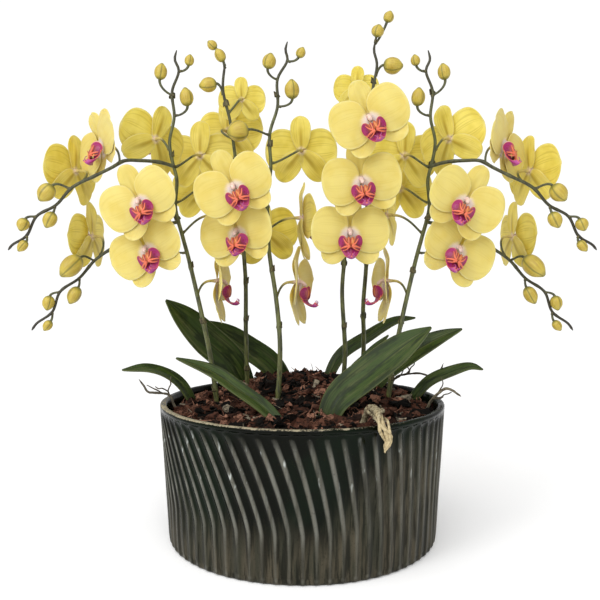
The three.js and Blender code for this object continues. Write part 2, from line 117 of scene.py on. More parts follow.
class Route:
    """A smooth centripetal line through points, read by share of its length."""

    def __init__(self, points: Sequence[Point]) -> None:
        """Args:
            points: places along the line, in metres.
        """
        knots = [Vector(point) for point in points]
        knots = [2 * knots[0] - knots[1], *knots, 2 * knots[-1] - knots[-2]]
        self.dense: list[Vector] = []
        for index in range(1, len(knots) - 2):
            self.dense += self._span(*knots[index - 1:index + 3])
        self.dense.append(knots[-2])
        steps = [(b - a).length for a, b in zip(self.dense, self.dense[1:])]
        self.marks = np.concatenate([[0.0], np.cumsum(steps)])
        self.length = float(self.marks[-1])

    @staticmethod
    def _span(p0: Vector, p1: Vector, p2: Vector, p3: Vector) -> list[Vector]:
        """Places along one span, from p1 up to but not including p2.

        Args:
            p0, p1, p2, p3: four neighbouring points of the line.

        Returns:
            Sixteen places.
        """
        d0, d1, d2 = ((b - a).length ** 0.5 for a, b in ((p0, p1), (p1, p2), (p2, p3)))
        t1 = ((p1 - p0) / d0 - (p2 - p0) / (d0 + d1) + (p2 - p1) / d1) * d1
        t2 = ((p2 - p1) / d1 - (p3 - p1) / (d1 + d2) + (p3 - p2) / d2) * d1
        places = []
        for step in range(16):
            t = step / 16
            places.append(p1 + t1 * t + (-3 * p1 + 3 * p2 - 2 * t1 - t2) * t * t
                          + (2 * p1 - 2 * p2 + t1 + t2) * t ** 3)
        return places

    def at(self, share: float) -> Vector:
        """The place at a share of the length.

        Args:
            share: from 0 at the start to 1 at the end.

        Returns:
            The place.
        """
        target = clamp(share) * self.length
        index = int(clamp(np.searchsorted(self.marks, target, side="right") - 1, 0, len(self.dense) - 2))
        gap = self.marks[index + 1] - self.marks[index]
        return self.dense[index].lerp(self.dense[index + 1], (target - self.marks[index]) / gap)

    def heading(self, share: float) -> Vector:
        """The unit direction of the line at a share of its length."""
        step = 0.004
        return (self.at(min(share + step, 1.0)) - self.at(max(share - step, 0.0))).normalized()

    def frame(self, share: float, face: Vector) -> Matrix:
        """A placement on the line whose Z runs along it and whose Y leans towards face.

        Args:
            share: how far along the line.
            face: the way that Y leans.

        Returns:
            The placement matrix.
        """
        along = self.heading(share)
        across = face.cross(along).normalized()
        out = along.cross(across)
        matrix = Matrix((across, out, along)).transposed().to_4x4()
        matrix.translation = self.at(share)
        return matrix


def clear_face(route: Route) -> Vector:
    """A direction that a route never runs along.

    Args:
        route: the route.

    Returns:
        A unit direction.
    """
    run = route.at(1) - route.at(0)
    sideways = abs(run.y) > abs(run.x) and abs(run.y) > abs(run.z)
    return Vector((1, 0, 0)) if sideways else Vector((0, -1, 0))


def layers(bm: bmesh.types.BMesh) -> tuple[object, object]:
    """The two attributes that materials read: grow (a vector) and tone (a number).

    Args:
        bm: the mesh under construction.

    Returns:
        The vertex layers grow and tone.
    """
    vectors, floats = bm.verts.layers.float_vector, bm.verts.layers.float
    return (vectors.get("grow") or vectors.new("grow")), (floats.get("tone") or floats.new("tone"))


def sweep(bm: bmesh.types.BMesh, route: Route, steps: int, sides: int,
          girth: Callable[[float], float], tone: Callable[[float], float] = lambda share: 0.0,
          flat: float = 1.0) -> list[bmesh.types.BMVert]:
    """Draws a closed tube along a route by extruding a circle from station to station.

    Args:
        bm: the mesh to add to.
        route: the tube's middle line.
        steps: how many stretches it is made of.
        sides: how many sides its section has.
        girth: its radius by share of its length.
        tone: the tone attribute by share of its length.
        flat: how thick the section is for its width.

    Returns:
        The tube's vertices.
    """
    grow_layer, tone_layer = layers(bm)
    face = clear_face(route)
    frames = []
    for step in range(steps + 1):
        radius = girth(step / steps)
        frames.append(route.frame(step / steps, face) @ Matrix.Diagonal((radius, radius * flat, radius, 1)))
    ring = bmesh.ops.create_circle(bm, cap_ends=True, radius=1.0, segments=sides, matrix=frames[0])["verts"]
    made = list(ring)
    for turn, vert in enumerate(ring):
        vert[grow_layer] = (0.0, turn / sides, 0.0)
        vert[tone_layer] = tone(0.0)
    edges = list(dict.fromkeys(edge for vert in ring for edge in vert.link_edges))
    for step in range(1, steps + 1):
        out = bmesh.ops.extrude_edge_only(bm, edges=edges)["geom"]
        ring = [item for item in out if isinstance(item, bmesh.types.BMVert)]
        members = set(ring)
        edges = [item for item in out if isinstance(item, bmesh.types.BMEdge)
                 and item.verts[0] in members and item.verts[1] in members]
        bmesh.ops.transform(bm, matrix=frames[step] @ frames[step - 1].inverted(), verts=ring)
        for vert in ring:
            vert[grow_layer] = (step / steps * route.length, vert[grow_layer][1], 0.0)
            vert[tone_layer] = tone(step / steps)
        made += ring
    bmesh.ops.contextual_create(bm, geom=edges)
    faces = list(dict.fromkeys(facet for vert in made for facet in vert.link_faces))
    bmesh.ops.recalc_face_normals(bm, faces=faces)
    return made


def sheet(bm: bmesh.types.BMesh, columns: int, rows: int,
          shape: Callable[[float, float], tuple[Vector, Vector]]) -> list[bmesh.types.BMVert]:
    """Draws a sheet by making a grid and moving each of its points.

    Args:
        bm: the mesh to add to.
        columns, rows: how many squares the grid has each way.
        shape: the place and the grow attribute of a grid point, both of whose coordinates run from -1 to 1.

    Returns:
        The sheet's vertices.
    """
    grow_layer, _ = layers(bm)
    verts = bmesh.ops.create_grid(bm, x_segments=columns, y_segments=rows, size=1.0)["verts"]
    for vert in verts:
        vert.co, vert[grow_layer] = shape(vert.co.x, vert.co.y)
    return verts


def finish_piece(bm: bmesh.types.BMesh, name: str, finishes: Sequence[bpy.types.Material],
                 nodes: Sequence[str] = (), smooth: bool = True) -> bpy.types.Object:
    """Turns a mesh under construction into a piece that rides on the part.

    Args:
        bm: the finished mesh, in metres in the part's frame. It is freed.
        name: the piece's name.
        finishes: its materials, in slot order.
        nodes: the CAD nodes that it stands for.
        smooth: whether its faces are shaded smooth.

    Returns:
        The piece.
    """
    mesh = bpy.data.meshes.new(name)
    for face in bm.faces:
        face.smooth = smooth
    bm.to_mesh(mesh)
    bm.free()
    for finish in finishes:
        mesh.materials.append(finish)
    piece = bpy.data.objects.new(name, mesh)
    bpy.context.scene.collection.objects.link(piece)
    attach(piece, "root")
    if nodes:
        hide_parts(*nodes)
    LOG.info("%s: %d faces", name, len(mesh.polygons))
    return piece


def thicken(piece: bpy.types.Object, thickness: float, back: int = 0, levels: int = 1) -> None:
    """Gives a sheet its thickness, then rounds it.

    Args:
        piece: the sheet.
        thickness: how thick it is, in metres, backwards from its face.
        back: how many slots on the back's material is.
        levels: how many times it is subdivided.
    """
    solid = piece.modifiers.new("thickness", "SOLIDIFY")
    solid.thickness, solid.offset = thickness, -1.0
    solid.material_offset = back
    if levels:
        rounding = piece.modifiers.new("rounding", "SUBSURF")
        rounding.levels = rounding.render_levels = levels


# ------------------------------------------------------------------ finishes

Socket = bpy.types.NodeSocket


class Recipe:
    """A material whose nodes are added one at a time."""

    def __init__(self, name: str, roughness: float = 0.5, **shader: float) -> None:
        """Args:
            name: the material's name.
            roughness: the shader's own roughness.
            shader: other shader inputs that are the same all over, with _ for a space.
        """
        self.material = bpy.data.materials.new(name)
        self.material.use_nodes = True
        self.tree = self.material.node_tree
        self.shader = self.tree.nodes["Principled BSDF"]
        self.shader.inputs["Roughness"].default_value = roughness
        for key, value in shader.items():
            self.shader.inputs[key.replace("_", " ")].default_value = value

    def add(self, kind: str, **settings: object) -> bpy.types.Node:
        """Adds a node and sets its properties.

        Args:
            kind: the node's type.
            settings: its properties.

        Returns:
            The node.
        """
        node = self.tree.nodes.new(kind)
        for key, value in settings.items():
            setattr(node, key, value)
        return node

    def feed(self, socket: Socket, value: object) -> None:
        """Links a socket to another, or sets its value.

        Args:
            socket: the input to feed.
            value: a socket, a colour or a number.
        """
        if isinstance(value, bpy.types.NodeSocket):
            self.tree.links.new(value, socket)
        elif isinstance(value, tuple) and socket.type == "RGBA":
            socket.default_value = (*value[:3], 1.0)
        else:
            socket.default_value = value

    def place(self, scale: Point = (1, 1, 1)) -> Socket:
        """The piece's own coordinates in metres, scaled."""
        return self.scaled(self.add("ShaderNodeTexCoord").outputs["Object"], scale)

    def scaled(self, vector: Socket, scale: Point) -> Socket:
        """A vector with each axis scaled.

        Args:
            vector: the vector.
            scale: a factor for each axis.

        Returns:
            The scaled vector.
        """
        node = self.add("ShaderNodeMapping")
        self.feed(node.inputs["Vector"], vector)
        node.inputs["Scale"].default_value = scale
        return node.outputs["Vector"]

    def vector(self, name: str) -> Socket:
        """A vector attribute of the piece."""
        return self.add("ShaderNodeAttribute", attribute_name=name).outputs["Vector"]

    def number(self, name: str) -> Socket:
        """A number attribute of the piece."""
        return self.add("ShaderNodeAttribute", attribute_name=name).outputs["Fac"]

    def split(self, vector: Socket) -> tuple[Socket, Socket, Socket]:
        """The three coordinates of a vector.

        Args:
            vector: the vector.

        Returns:
            Its X, Y and Z.
        """
        node = self.add("ShaderNodeSeparateXYZ")
        self.feed(node.inputs[0], vector)
        return node.outputs[0], node.outputs[1], node.outputs[2]

    def join(self, x: object, y: object, z: object) -> Socket:
        """A vector from three numbers or sockets.

        Args:
            x, y, z: its coordinates.

        Returns:
            The vector.
        """
        node = self.add("ShaderNodeCombineXYZ")
        for socket, value in zip(node.inputs, (x, y, z)):
            self.feed(socket, value)
        return node.outputs[0]

    def noise(self, vector: Socket, scale: float, detail: float = 3.0, rough: float = 0.55) -> Socket:
        """Noise from 0 to 1.

        Args:
            vector: where it is read.
            scale: how many features there are in a unit.
            detail: how many finer layers it has.
            rough: how strong those are.

        Returns:
            The noise.
        """
        node = self.add("ShaderNodeTexNoise")
        self.feed(node.inputs["Vector"], vector)
        node.inputs["Scale"].default_value = scale
        node.inputs["Detail"].default_value = detail
        node.inputs["Roughness"].default_value = rough
        return node.outputs[0]

    def maths(self, operation: str, a: object, b: object = 0.0) -> Socket:
        """One arithmetic step.

        Args:
            operation: its name in the Math node.
            a, b: numbers or sockets.

        Returns:
            The result.
        """
        node = self.add("ShaderNodeMath", operation=operation)
        self.feed(node.inputs[0], a)
        self.feed(node.inputs[1], b)
        return node.outputs[0]

    def span(self, value: Socket, low: float, high: float, start: float = 0.0, end: float = 1.0) -> Socket:
        """Maps a value's range onto another, smoothly and clamped.

        Args:
            value: the value.
            low, high: its range.
            start, end: what the range's two ends become.

        Returns:
            The mapped value.
        """
        node = self.add("ShaderNodeMapRange", interpolation_type="SMOOTHSTEP")
        for index, number in enumerate((low, high, start, end), 1):
            node.inputs[index].default_value = number
        self.feed(node.inputs[0], value)
        return node.outputs[0]

    def mix(self, share: object, a: object, b: object) -> Socket:
        """Mixes two colours.

        Args:
            share: how much of the second there is, from 0 to 1.
            a, b: colours or sockets.

        Returns:
            The mixed colour.
        """
        node = self.add("ShaderNodeMix", data_type="RGBA")
        self.feed(node.inputs[0], share)
        self.feed(node.inputs[6], a)
        self.feed(node.inputs[7], b)
        return node.outputs[2]

    def mix_number(self, share: object, a: object, b: object) -> Socket:
        """Mixes two numbers.

        Args:
            share: how much of the second there is, from 0 to 1.
            a, b: numbers or sockets.

        Returns:
            The mixed number.
        """
        node = self.add("ShaderNodeMix", data_type="FLOAT")
        for index, value in enumerate((share, a, b)):
            self.feed(node.inputs[(0, 2, 3)[index]], value)
        return node.outputs[0]

    def bump(self, height: Socket, strength: float, distance: float) -> None:
        """Adds relief to the whole material, on top of any already there.

        Args:
            height: the relief, from 0 to 1.
            strength: how much of it shows.
            distance: its depth in metres.
        """
        node = self.add("ShaderNodeBump")
        node.inputs["Strength"].default_value = strength
        node.inputs["Distance"].default_value = distance
        self.feed(node.inputs["Height"], height)
        before = self.shader.inputs["Normal"].links
        if before:
            self.feed(node.inputs["Normal"], before[0].from_socket)
        self.feed(self.shader.inputs["Normal"], node.outputs[0])

    def done(self, colour: object, roughness: object = None) -> bpy.types.Material:
        """Sets the colour, and the roughness if it varies, and hands back the material.

        Args:
            colour: a colour or a socket.
            roughness: a socket, or None where the shader's own value holds.

        Returns:
            The material.
        """
        self.feed(self.shader.inputs["Base Color"], colour)
        if roughness is not None:
            self.feed(self.shader.inputs["Roughness"], roughness)
        return self.material


class Side(Enum):
    """Which side of a tepal a finish is for."""

    FRONT = "front"
    BACK = "back"


@dataclass(frozen=True)
class TepalFinish:
    """Thin velvety butter-yellow flesh with fanning veins and a pink-white throat."""

    side: Side
    pale: Colour = srgb(212, 193, 110)
    deep: Colour = srgb(204, 178, 80)
    mustard: Colour = srgb(166, 140, 24)
    throat: Colour = srgb(236, 216, 204)
    rim: Colour = srgb(216, 204, 138)

    def make(self) -> bpy.types.Material:
        """Builds the material from the grow and bloom attributes.

        Returns:
            The material.
        """
        back = self.side is Side.BACK
        recipe = Recipe(f"tepal_{self.side.value}", 0.55, Sheen_Weight=0.15, Subsurface_Weight=0.3,
                        Subsurface_Scale=0.004, Specular_IOR_Level=0.35)
        recipe.shader.inputs["Subsurface Radius"].default_value = (1.0, 0.8, 0.25)
        along, across, kind = recipe.split(recipe.vector("grow"))
        bloom = recipe.vector("bloom")
        streaks = recipe.scaled(recipe.join(across, along, kind), (13.0, 0.6, 1.0))
        vein = recipe.span(recipe.noise(streaks, 1.0, 1.0, 0.5), 0.5, 0.72)
        fine = recipe.noise(recipe.scaled(streaks, (2.6, 1.6, 1.0)), 1.0, 2.0)
        cloud = recipe.noise(recipe.place(), 55.0, 2.0)
        patchy = recipe.span(cloud, 0.35, 0.8, 0.4 if back else 0.0, 1.0 if back else 0.7)
        body = recipe.mix(patchy, self.pale, self.deep)
        body = recipe.mix(recipe.span(along, 0.42, 0.02, 0.0, 0.55), body, self.deep)
        if back:
            body = recipe.mix(recipe.span(cloud, 0.2, 0.9, 0.0, 0.22), body, self.mustard)
        veined = recipe.mix(recipe.maths("MULTIPLY", vein, 0.36 if back else 0.12), body, self.mustard)
        middle = recipe.span(recipe.maths("ABSOLUTE", across), 0.34, 0.0)
        sepal = recipe.span(kind, 1.4, 1.6)
        streak = recipe.maths("MULTIPLY", recipe.maths("MULTIPLY", middle, recipe.span(along, 0.95, 0.3)),
                              recipe.maths("MULTIPLY", sepal, 0.85 if back else 0.32))
        veined = recipe.mix(streak, veined, self.mustard)
        edge = recipe.maths("MAXIMUM", recipe.maths("ABSOLUTE", across), along)
        veined = recipe.mix(recipe.span(edge, 0.9, 1.0, 0.0, 0.55), veined, self.rim)
        _, height, _ = recipe.split(bloom)
        low = recipe.join(recipe.split(bloom)[0], recipe.maths("ADD", height, 0.55 if not back else 0.0), 0.0)
        reach = recipe.add("ShaderNodeVectorMath", operation="LENGTH")
        recipe.feed(reach.inputs[0], low)
        wander = recipe.maths("ADD", reach.outputs["Value"], recipe.maths("MULTIPLY", fine, 0.35))
        halo = recipe.span(wander, 1.42, 0.8) if not back else recipe.span(wander, 0.8, 0.4)
        colour = recipe.mix(recipe.maths("MULTIPLY", halo, 0.5 if back else 0.92), veined, self.throat)
        recipe.bump(vein, 0.25, 0.0002)
        recipe.bump(fine, 0.2, 0.0001)
        return recipe.done(colour, recipe.span(cloud, 0.2, 0.8, 0.48, 0.62))


@dataclass(frozen=True)
class LipFinish:
    """Waxy magenta with dark streaks, a pale outline, an amber throat and a painted lilac highlight towards
    the far end.
    """

    magenta: Colour = srgb(156, 24, 104)
    crimson: Colour = srgb(142, 16, 58)
    dark: Colour = srgb(90, 8, 42)
    painted_lilac_highlight: Colour = srgb(182, 90, 168)
    outline: Colour = srgb(232, 118, 82)
    amber: Colour = srgb(206, 124, 56)

    def make(self) -> bpy.types.Material:
        """Builds the material from the grow attribute: along, across and how amber the piece is.

        Returns:
            The material.
        """
        recipe = Recipe("lip_magenta", 0.38, Specular_IOR_Level=0.45, Sheen_Weight=0.1)
        along, across, amber = recipe.split(recipe.vector("grow"))
        streaks = recipe.scaled(recipe.join(across, along, amber), (7.0, 1.5, 1.0))
        streak = recipe.noise(streaks, 1.0, 2.0)
        body = recipe.mix(recipe.span(streak, 0.42, 0.62), self.magenta, self.crimson)
        body = recipe.mix(recipe.span(along, 0.66, 0.3, 0.0, 0.85), body, self.dark)
        # Painted highlight: lighter lilac towards the lip's far end.
        body = recipe.mix(recipe.span(along, 0.76, 1.0, 0.0, 0.6), body, self.painted_lilac_highlight)
        edge = recipe.maths("MAXIMUM", recipe.maths("ABSOLUTE", across), along)
        body = recipe.mix(recipe.span(edge, 0.93, 1.0, 0.0, 0.85), body, self.outline)
        stripes = recipe.span(recipe.noise(recipe.scaled(streaks, (1.7, 1.0, 1.0)), 1.0, 1.0), 0.46, 0.56)
        throat = recipe.mix(stripes, self.amber, self.crimson)
        colour = recipe.mix(recipe.span(amber, 0.3, 0.9), body, throat)
        recipe.bump(streak, 0.25, 0.0002)
        return recipe.done(colour)


@dataclass(frozen=True)
class ColumnFinish:
    """White-pink waxy flesh that flushes where it joins the flower."""

    white: Colour = srgb(224, 200, 186)
    flush: Colour = srgb(204, 150, 144)
    stalk: Colour = srgb(190, 170, 104)

    def make(self) -> bpy.types.Material:
        """Builds the material: tone 0 is the stalk end, 1 the tip of the column.

        Returns:
            The material.
        """
        recipe = Recipe("column_white", 0.5, Specular_IOR_Level=0.2)
        tone = recipe.number("tone")
        spots = recipe.noise(recipe.place(), 900.0, 2.0)
        body = recipe.mix(recipe.span(spots, 0.45, 0.7, 0.0, 0.8), self.white, self.flush)
        colour = recipe.mix(recipe.span(tone, 0.55, 0.1), body, self.stalk)
        recipe.bump(spots, 0.15, 0.0001)
        return recipe.done(colour)


@dataclass(frozen=True)
class StemFinish:
    """Smooth olive stem that darkens to brown-black towards its tips."""

    olive: Colour = srgb(98, 102, 56)
    shade: Colour = srgb(52, 55, 32)
    tip: Colour = srgb(40, 34, 22)
    straw: Colour = srgb(196, 178, 104)

    def make(self) -> bpy.types.Material:
        """Builds the material from place and the tone attribute.

        Returns:
            The material.
        """
        recipe = Recipe("stem_olive", 0.42, Specular_IOR_Level=0.45, Coat_Weight=0.1, Coat_Roughness=0.35)
        mottle = recipe.noise(recipe.place((1, 1, 0.25)), 420.0, 4.0)
        flecks = recipe.noise(recipe.place(), 60.0, 2.0)
        body = recipe.mix(recipe.span(mottle, 0.35, 0.7), self.olive, self.shade)
        body = recipe.mix(recipe.span(flecks, 0.5, 0.75, 0.0, 0.6), body, self.shade)
        colour = recipe.mix(recipe.number("tone"), body, self.tip)
        _, _, young = recipe.split(recipe.vector("grow"))
        colour = recipe.mix(recipe.span(young, 0.25, 1.0), colour, self.straw)
        recipe.bump(mottle, 0.3, 0.0002)
        return recipe.done(colour, recipe.span(mottle, 0.2, 0.8, 0.36, 0.58))


@dataclass(frozen=True)
class BudFinish:
    """Mustard bud, orange-brown on its belly, olive at its foot, rim and seams."""

    mustard: Colour = srgb(192, 172, 70)
    blush: Colour = srgb(174, 148, 58)
    olive: Colour = srgb(98, 98, 40)

    def make(self) -> bpy.types.Material:
        """Builds the material: grow holds the share up the bud, across a sepal, and a number for the bud.

        Returns:
            The material.
        """
        recipe = Recipe("bud_mustard", 0.42, Specular_IOR_Level=0.4, Coat_Weight=0.12, Coat_Roughness=0.4)
        up, across, which = recipe.split(recipe.vector("grow"))
        streaks = recipe.join(recipe.maths("MULTIPLY", across, 5.0), recipe.maths("MULTIPLY", up, 1.6), which)
        vein = recipe.noise(streaks, 1.0, 3.0)
        belly = recipe.maths("MULTIPLY", recipe.span(up, 0.12, 0.45), recipe.span(up, 0.98, 0.6))
        blushed = recipe.maths("MULTIPLY", belly, recipe.span(vein, 0.3, 0.65))
        body = recipe.mix(blushed, self.mustard, self.blush)
        body = recipe.mix(recipe.span(up, 0.26, 0.02, 0.0, 0.85), body, self.olive)
        body = recipe.mix(recipe.span(up, 0.86, 1.0, 0.0, 0.6), body, self.olive)
        seam = recipe.span(recipe.maths("ABSOLUTE", across), 0.8, 1.0, 0.0, 0.75)
        colour = recipe.mix(seam, body, self.olive)
        recipe.bump(vein, 0.25, 0.0003)
        return recipe.done(colour)


@dataclass(frozen=True)
class LeafFinish:
    """Leathery dark green with grey-olive patches of painted sheen, fine parallel veins and paler edges."""

    green: Colour = srgb(50, 69, 20)
    deep: Colour = srgb(20, 32, 9)
    olive: Colour = srgb(82, 90, 50)
    edge: Colour = srgb(98, 102, 62)

    def make(self) -> bpy.types.Material:
        """Builds the material: grow holds the share along the leaf, across it, and a number for the leaf.

        Returns:
            The material.
        """
        recipe = Recipe("leaf_green", 0.4, Specular_IOR_Level=0.2)
        along, across, which = recipe.split(recipe.vector("grow"))
        streaks = recipe.scaled(recipe.join(across, along, which), (16.0, 1.2, 1.0))
        vein = recipe.noise(streaks, 1.0, 3.0)
        cloud = recipe.noise(recipe.join(recipe.maths("MULTIPLY", across, 1.4), along, which), 3.2, 4.0)
        patch = recipe.noise(recipe.scaled(recipe.join(across, along, which), (0.9, 2.0, 1.0)), 2.2, 5.0, 0.6)
        # The grey-olive patches are a painted sheen.
        body = recipe.mix(recipe.span(cloud, 0.42, 0.72), self.green, self.olive)
        body = recipe.mix(recipe.span(patch, 0.54, 0.4, 0.0, 0.75), body, self.deep)
        body = recipe.mix(recipe.span(vein, 0.42, 0.7, 0.0, 0.7), body, self.deep)
        body = recipe.mix(recipe.span(along, 0.3, 0.02, 0.0, 0.8), body, self.deep)
        middle = recipe.span(recipe.maths("ABSOLUTE", across), 0.09, 0.0, 0.0, 0.7)
        body = recipe.mix(middle, body, self.deep)
        rim = recipe.span(recipe.maths("ABSOLUTE", across), 0.93, 1.0, 0.0, 0.5)
        colour = recipe.mix(rim, body, self.edge)
        recipe.bump(vein, 0.35, 0.0004)
        recipe.bump(cloud, 0.2, 0.0012)
        return recipe.done(colour, recipe.span(cloud, 0.25, 0.75, 0.3, 0.52))


@dataclass(frozen=True)
class RootFinish:
    """Silvery corky root with brown cracks and a creamy growing tip."""

    silver: Colour = srgb(158, 148, 118)
    brown: Colour = srgb(84, 68, 46)
    dark: Colour = srgb(48, 42, 32)
    tip: Colour = srgb(198, 180, 138)

    def make(self) -> bpy.types.Material:
        """Builds the material from place and the tone attribute: 1 at a creamy tip, -1 where dried dark.

        Returns:
            The material.
        """
        recipe = Recipe("root_silver", 0.75)
        cracks = recipe.noise(recipe.place(), 380.0, 5.0, 0.65)
        body = recipe.mix(recipe.span(cracks, 0.42, 0.62), self.silver, self.brown)
        tone = recipe.number("tone")
        cream = recipe.mix(recipe.span(cracks, 0.46, 0.66, 0.0, 0.6), self.tip, self.brown)
        colour = recipe.mix(recipe.span(tone, 0.0, 1.0), body, cream)
        colour = recipe.mix(recipe.span(tone, 0.0, -1.0, 0.0, 0.85), colour, self.dark)
        recipe.bump(cracks, 0.7, 0.0008)
        return recipe.done(colour)


@dataclass(frozen=True)
class BractFinish:
    """Papery brown-grey scale that wraps a node."""

    husk: Colour = srgb(106, 100, 62)
    dark: Colour = srgb(54, 46, 30)

    def make(self) -> bpy.types.Material:
        """Builds the material from place.

        Returns:
            The material.
        """
        recipe = Recipe("bract_husk", 0.7)
        grain = recipe.noise(recipe.place((1, 1, 0.3)), 700.0, 4.0)
        recipe.bump(grain, 0.4, 0.0003)
        return recipe.done(recipe.mix(recipe.span(grain, 0.35, 0.65), self.husk, self.dark))


@dataclass(frozen=True)
class BarkFinish:
    """Fir bark chips: red-brown, some tan, some nearly black, with a torn grain."""

    red: Colour = srgb(78, 48, 36)
    tan: Colour = srgb(150, 108, 88)
    black: Colour = srgb(10, 8, 6)
    grey: Colour = srgb(140, 130, 112)
    bed: bool = False

    def make(self) -> bpy.types.Material:
        """Builds the material; tone is a chip's own number, and the bed under the chips is darker, a painted
        shade for the gaps between the chips.

        Returns:
            The material.
        """
        recipe = Recipe("bark_bed_painted_shade" if self.bed else "bark_chip", 0.88, Specular_IOR_Level=0.12)
        place = recipe.place()
        grain = recipe.noise(place, 320.0, 5.0, 0.65)
        lumps = recipe.noise(place, 90.0, 3.0)
        # The bed is mostly near-black: painted shade in the gaps between chips.
        if self.bed:
            body = recipe.mix(recipe.span(lumps, 0.42, 0.7), self.black, self.red)
            colour = recipe.mix(recipe.span(grain, 0.35, 0.6), self.black, body)
            recipe.bump(lumps, 1.0, 0.006)
            recipe.bump(grain, 0.8, 0.002)
            return recipe.done(colour)
        tone = recipe.number("tone")
        body = recipe.mix(recipe.span(tone, 0.36, 0.6), self.black, self.red)
        body = recipe.mix(recipe.span(tone, 0.66, 0.95), body, self.tan)
        body = recipe.mix(recipe.span(tone, 0.955, 0.965), body, self.grey)
        colour = recipe.mix(recipe.span(grain, 0.56, 0.36, 0.0, 0.8), body, self.black)
        recipe.bump(grain, 0.8, 0.0012)
        return recipe.done(colour)


@dataclass(frozen=True)
class GlazeFinish:
    """Dark green-black glaze, broken to taupe on the ribs and worn to cream on the rim; the taupe on the rib
    crests is partly a painted highlight, and near-white painted glints sit on the upper crests.
    """

    pool: Colour = srgb(6, 8, 3)
    moss: Colour = srgb(9, 20, 9)
    taupe: Colour = srgb(112, 112, 104)
    ash: Colour = srgb(58, 57, 46)
    umber: Colour = srgb(82, 76, 62)
    cream: Colour = srgb(154, 145, 121)
    painted_glint: Colour = srgb(196, 202, 198)

    def make(self) -> bpy.types.Material:
        """Builds the material: grow holds the ridge, the share up the pot, and the wear of the rim.

        Returns:
            The material.
        """
        recipe = Recipe("pot_glaze", 0.2, Specular_IOR_Level=0.09)
        ridge, rise, wear = recipe.split(recipe.vector("grow"))
        place = recipe.place()
        blotch = recipe.noise(place, 16.0, 4.0)
        drips = recipe.noise(recipe.place((1, 1, 0.1)), 110.0, 4.0, 0.6)
        fine = recipe.noise(recipe.place((1, 1, 0.05)), 330.0, 3.0, 0.6)
        grit = recipe.noise(place, 520.0, 4.0, 0.6)
        pool = recipe.mix(recipe.span(blotch, 0.42, 0.66), self.pool, self.moss)
        sideways = recipe.split(place)[0]
        low = recipe.maths("ADD", rise, recipe.maths("MULTIPLY", recipe.maths("SUBTRACT", drips, 0.5), 0.55))
        low = recipe.maths("SUBTRACT", low, recipe.span(sideways, 0.01, 0.09, 0.0, 0.5))
        ashy = recipe.span(low, 0.5, 0.12, 0.0, 0.8)
        streaky = recipe.mix(recipe.span(drips, 0.4, 0.62), self.ash, self.umber)
        streaky = recipe.mix(recipe.span(fine, 0.42, 0.62, 0.0, 0.7), streaky, self.pool)
        body = recipe.mix(ashy, pool, streaky)
        # Taupe on the rib crests: partly the glaze breaking over the ribs, partly a painted highlight.
        crest_taupe_and_highlight = recipe.mix(recipe.span(fine, 0.35, 0.7, 0.0, 0.5), self.taupe, self.umber)
        broken = recipe.span(drips, 0.3, 0.6, 0.35, 1.0)
        crest = recipe.maths("MULTIPLY", recipe.span(ridge, 0.42, 0.95), broken)
        crest = recipe.maths("MULTIPLY", crest, recipe.span(ashy, 0.0, 0.8, 1.0, 0.62))
        crest = recipe.maths("MULTIPLY", crest, recipe.span(rise, 0.95, 0.8, 0.2, 1.0))
        body = recipe.mix(recipe.maths("MULTIPLY", crest, 0.9), body, crest_taupe_and_highlight)
        body = recipe.mix(recipe.span(grit, 0.55, 0.72, 0.0, 0.35), body, self.pool)
        # Painted glints: near-white highlight spots on the crests of the upper pot.
        painted_glint = recipe.span(recipe.noise(recipe.place((1, 1, 0.3)), 170.0, 2.0), 0.62, 0.7, 0.0, 0.75)
        painted_glint = recipe.maths("MULTIPLY", painted_glint, crest)
        painted_glint = recipe.maths("MULTIPLY", painted_glint, recipe.span(rise, 0.45, 0.75))
        body = recipe.mix(painted_glint, body, self.painted_glint)
        worn = recipe.maths("ADD", wear, recipe.maths("MULTIPLY", recipe.maths("SUBTRACT", grit, 0.5), 0.9))
        bare = recipe.span(worn, 0.5, 0.72)
        colour = recipe.mix(bare, body, self.cream)
        recipe.bump(drips, 0.35, 0.0012)
        recipe.bump(fine, 0.25, 0.0005)
        recipe.bump(grit, 0.15, 0.0004)
        worn_rough = recipe.maths("MULTIPLY", ashy, 0.2)
        rough = recipe.maths("ADD", recipe.span(crest, 0.0, 1.0, 0.14, 0.3), worn_rough)
        return recipe.done(colour, recipe.mix_number(bare, rough, 0.7))


# ------------------------------------------------------------------ flowers

# The variants after the plain ones: a flower seen side-on, and a lip that hides behind its sepals.
DROOPING = 4
TUCKED = 5


class TepalKind(Enum):
    """The three kinds of tepal, with the number that the finish tells them apart by."""

    PETAL = 1.0
    DORSAL = 2.0
    LATERAL = 2.5


@dataclass(frozen=True)
class TepalForm:
    """The shape of one tepal: sizes in metres, angles in degrees."""

    kind: TepalKind
    lean: float
    length: float
    width: float
    widest: float
    claw: float
    fullness: float
    start: float = 0.0015
    lift: float = 0.0
    recurve: float = 0.004
    bulge: float = 0.002
    ruffle: float = 0.0007


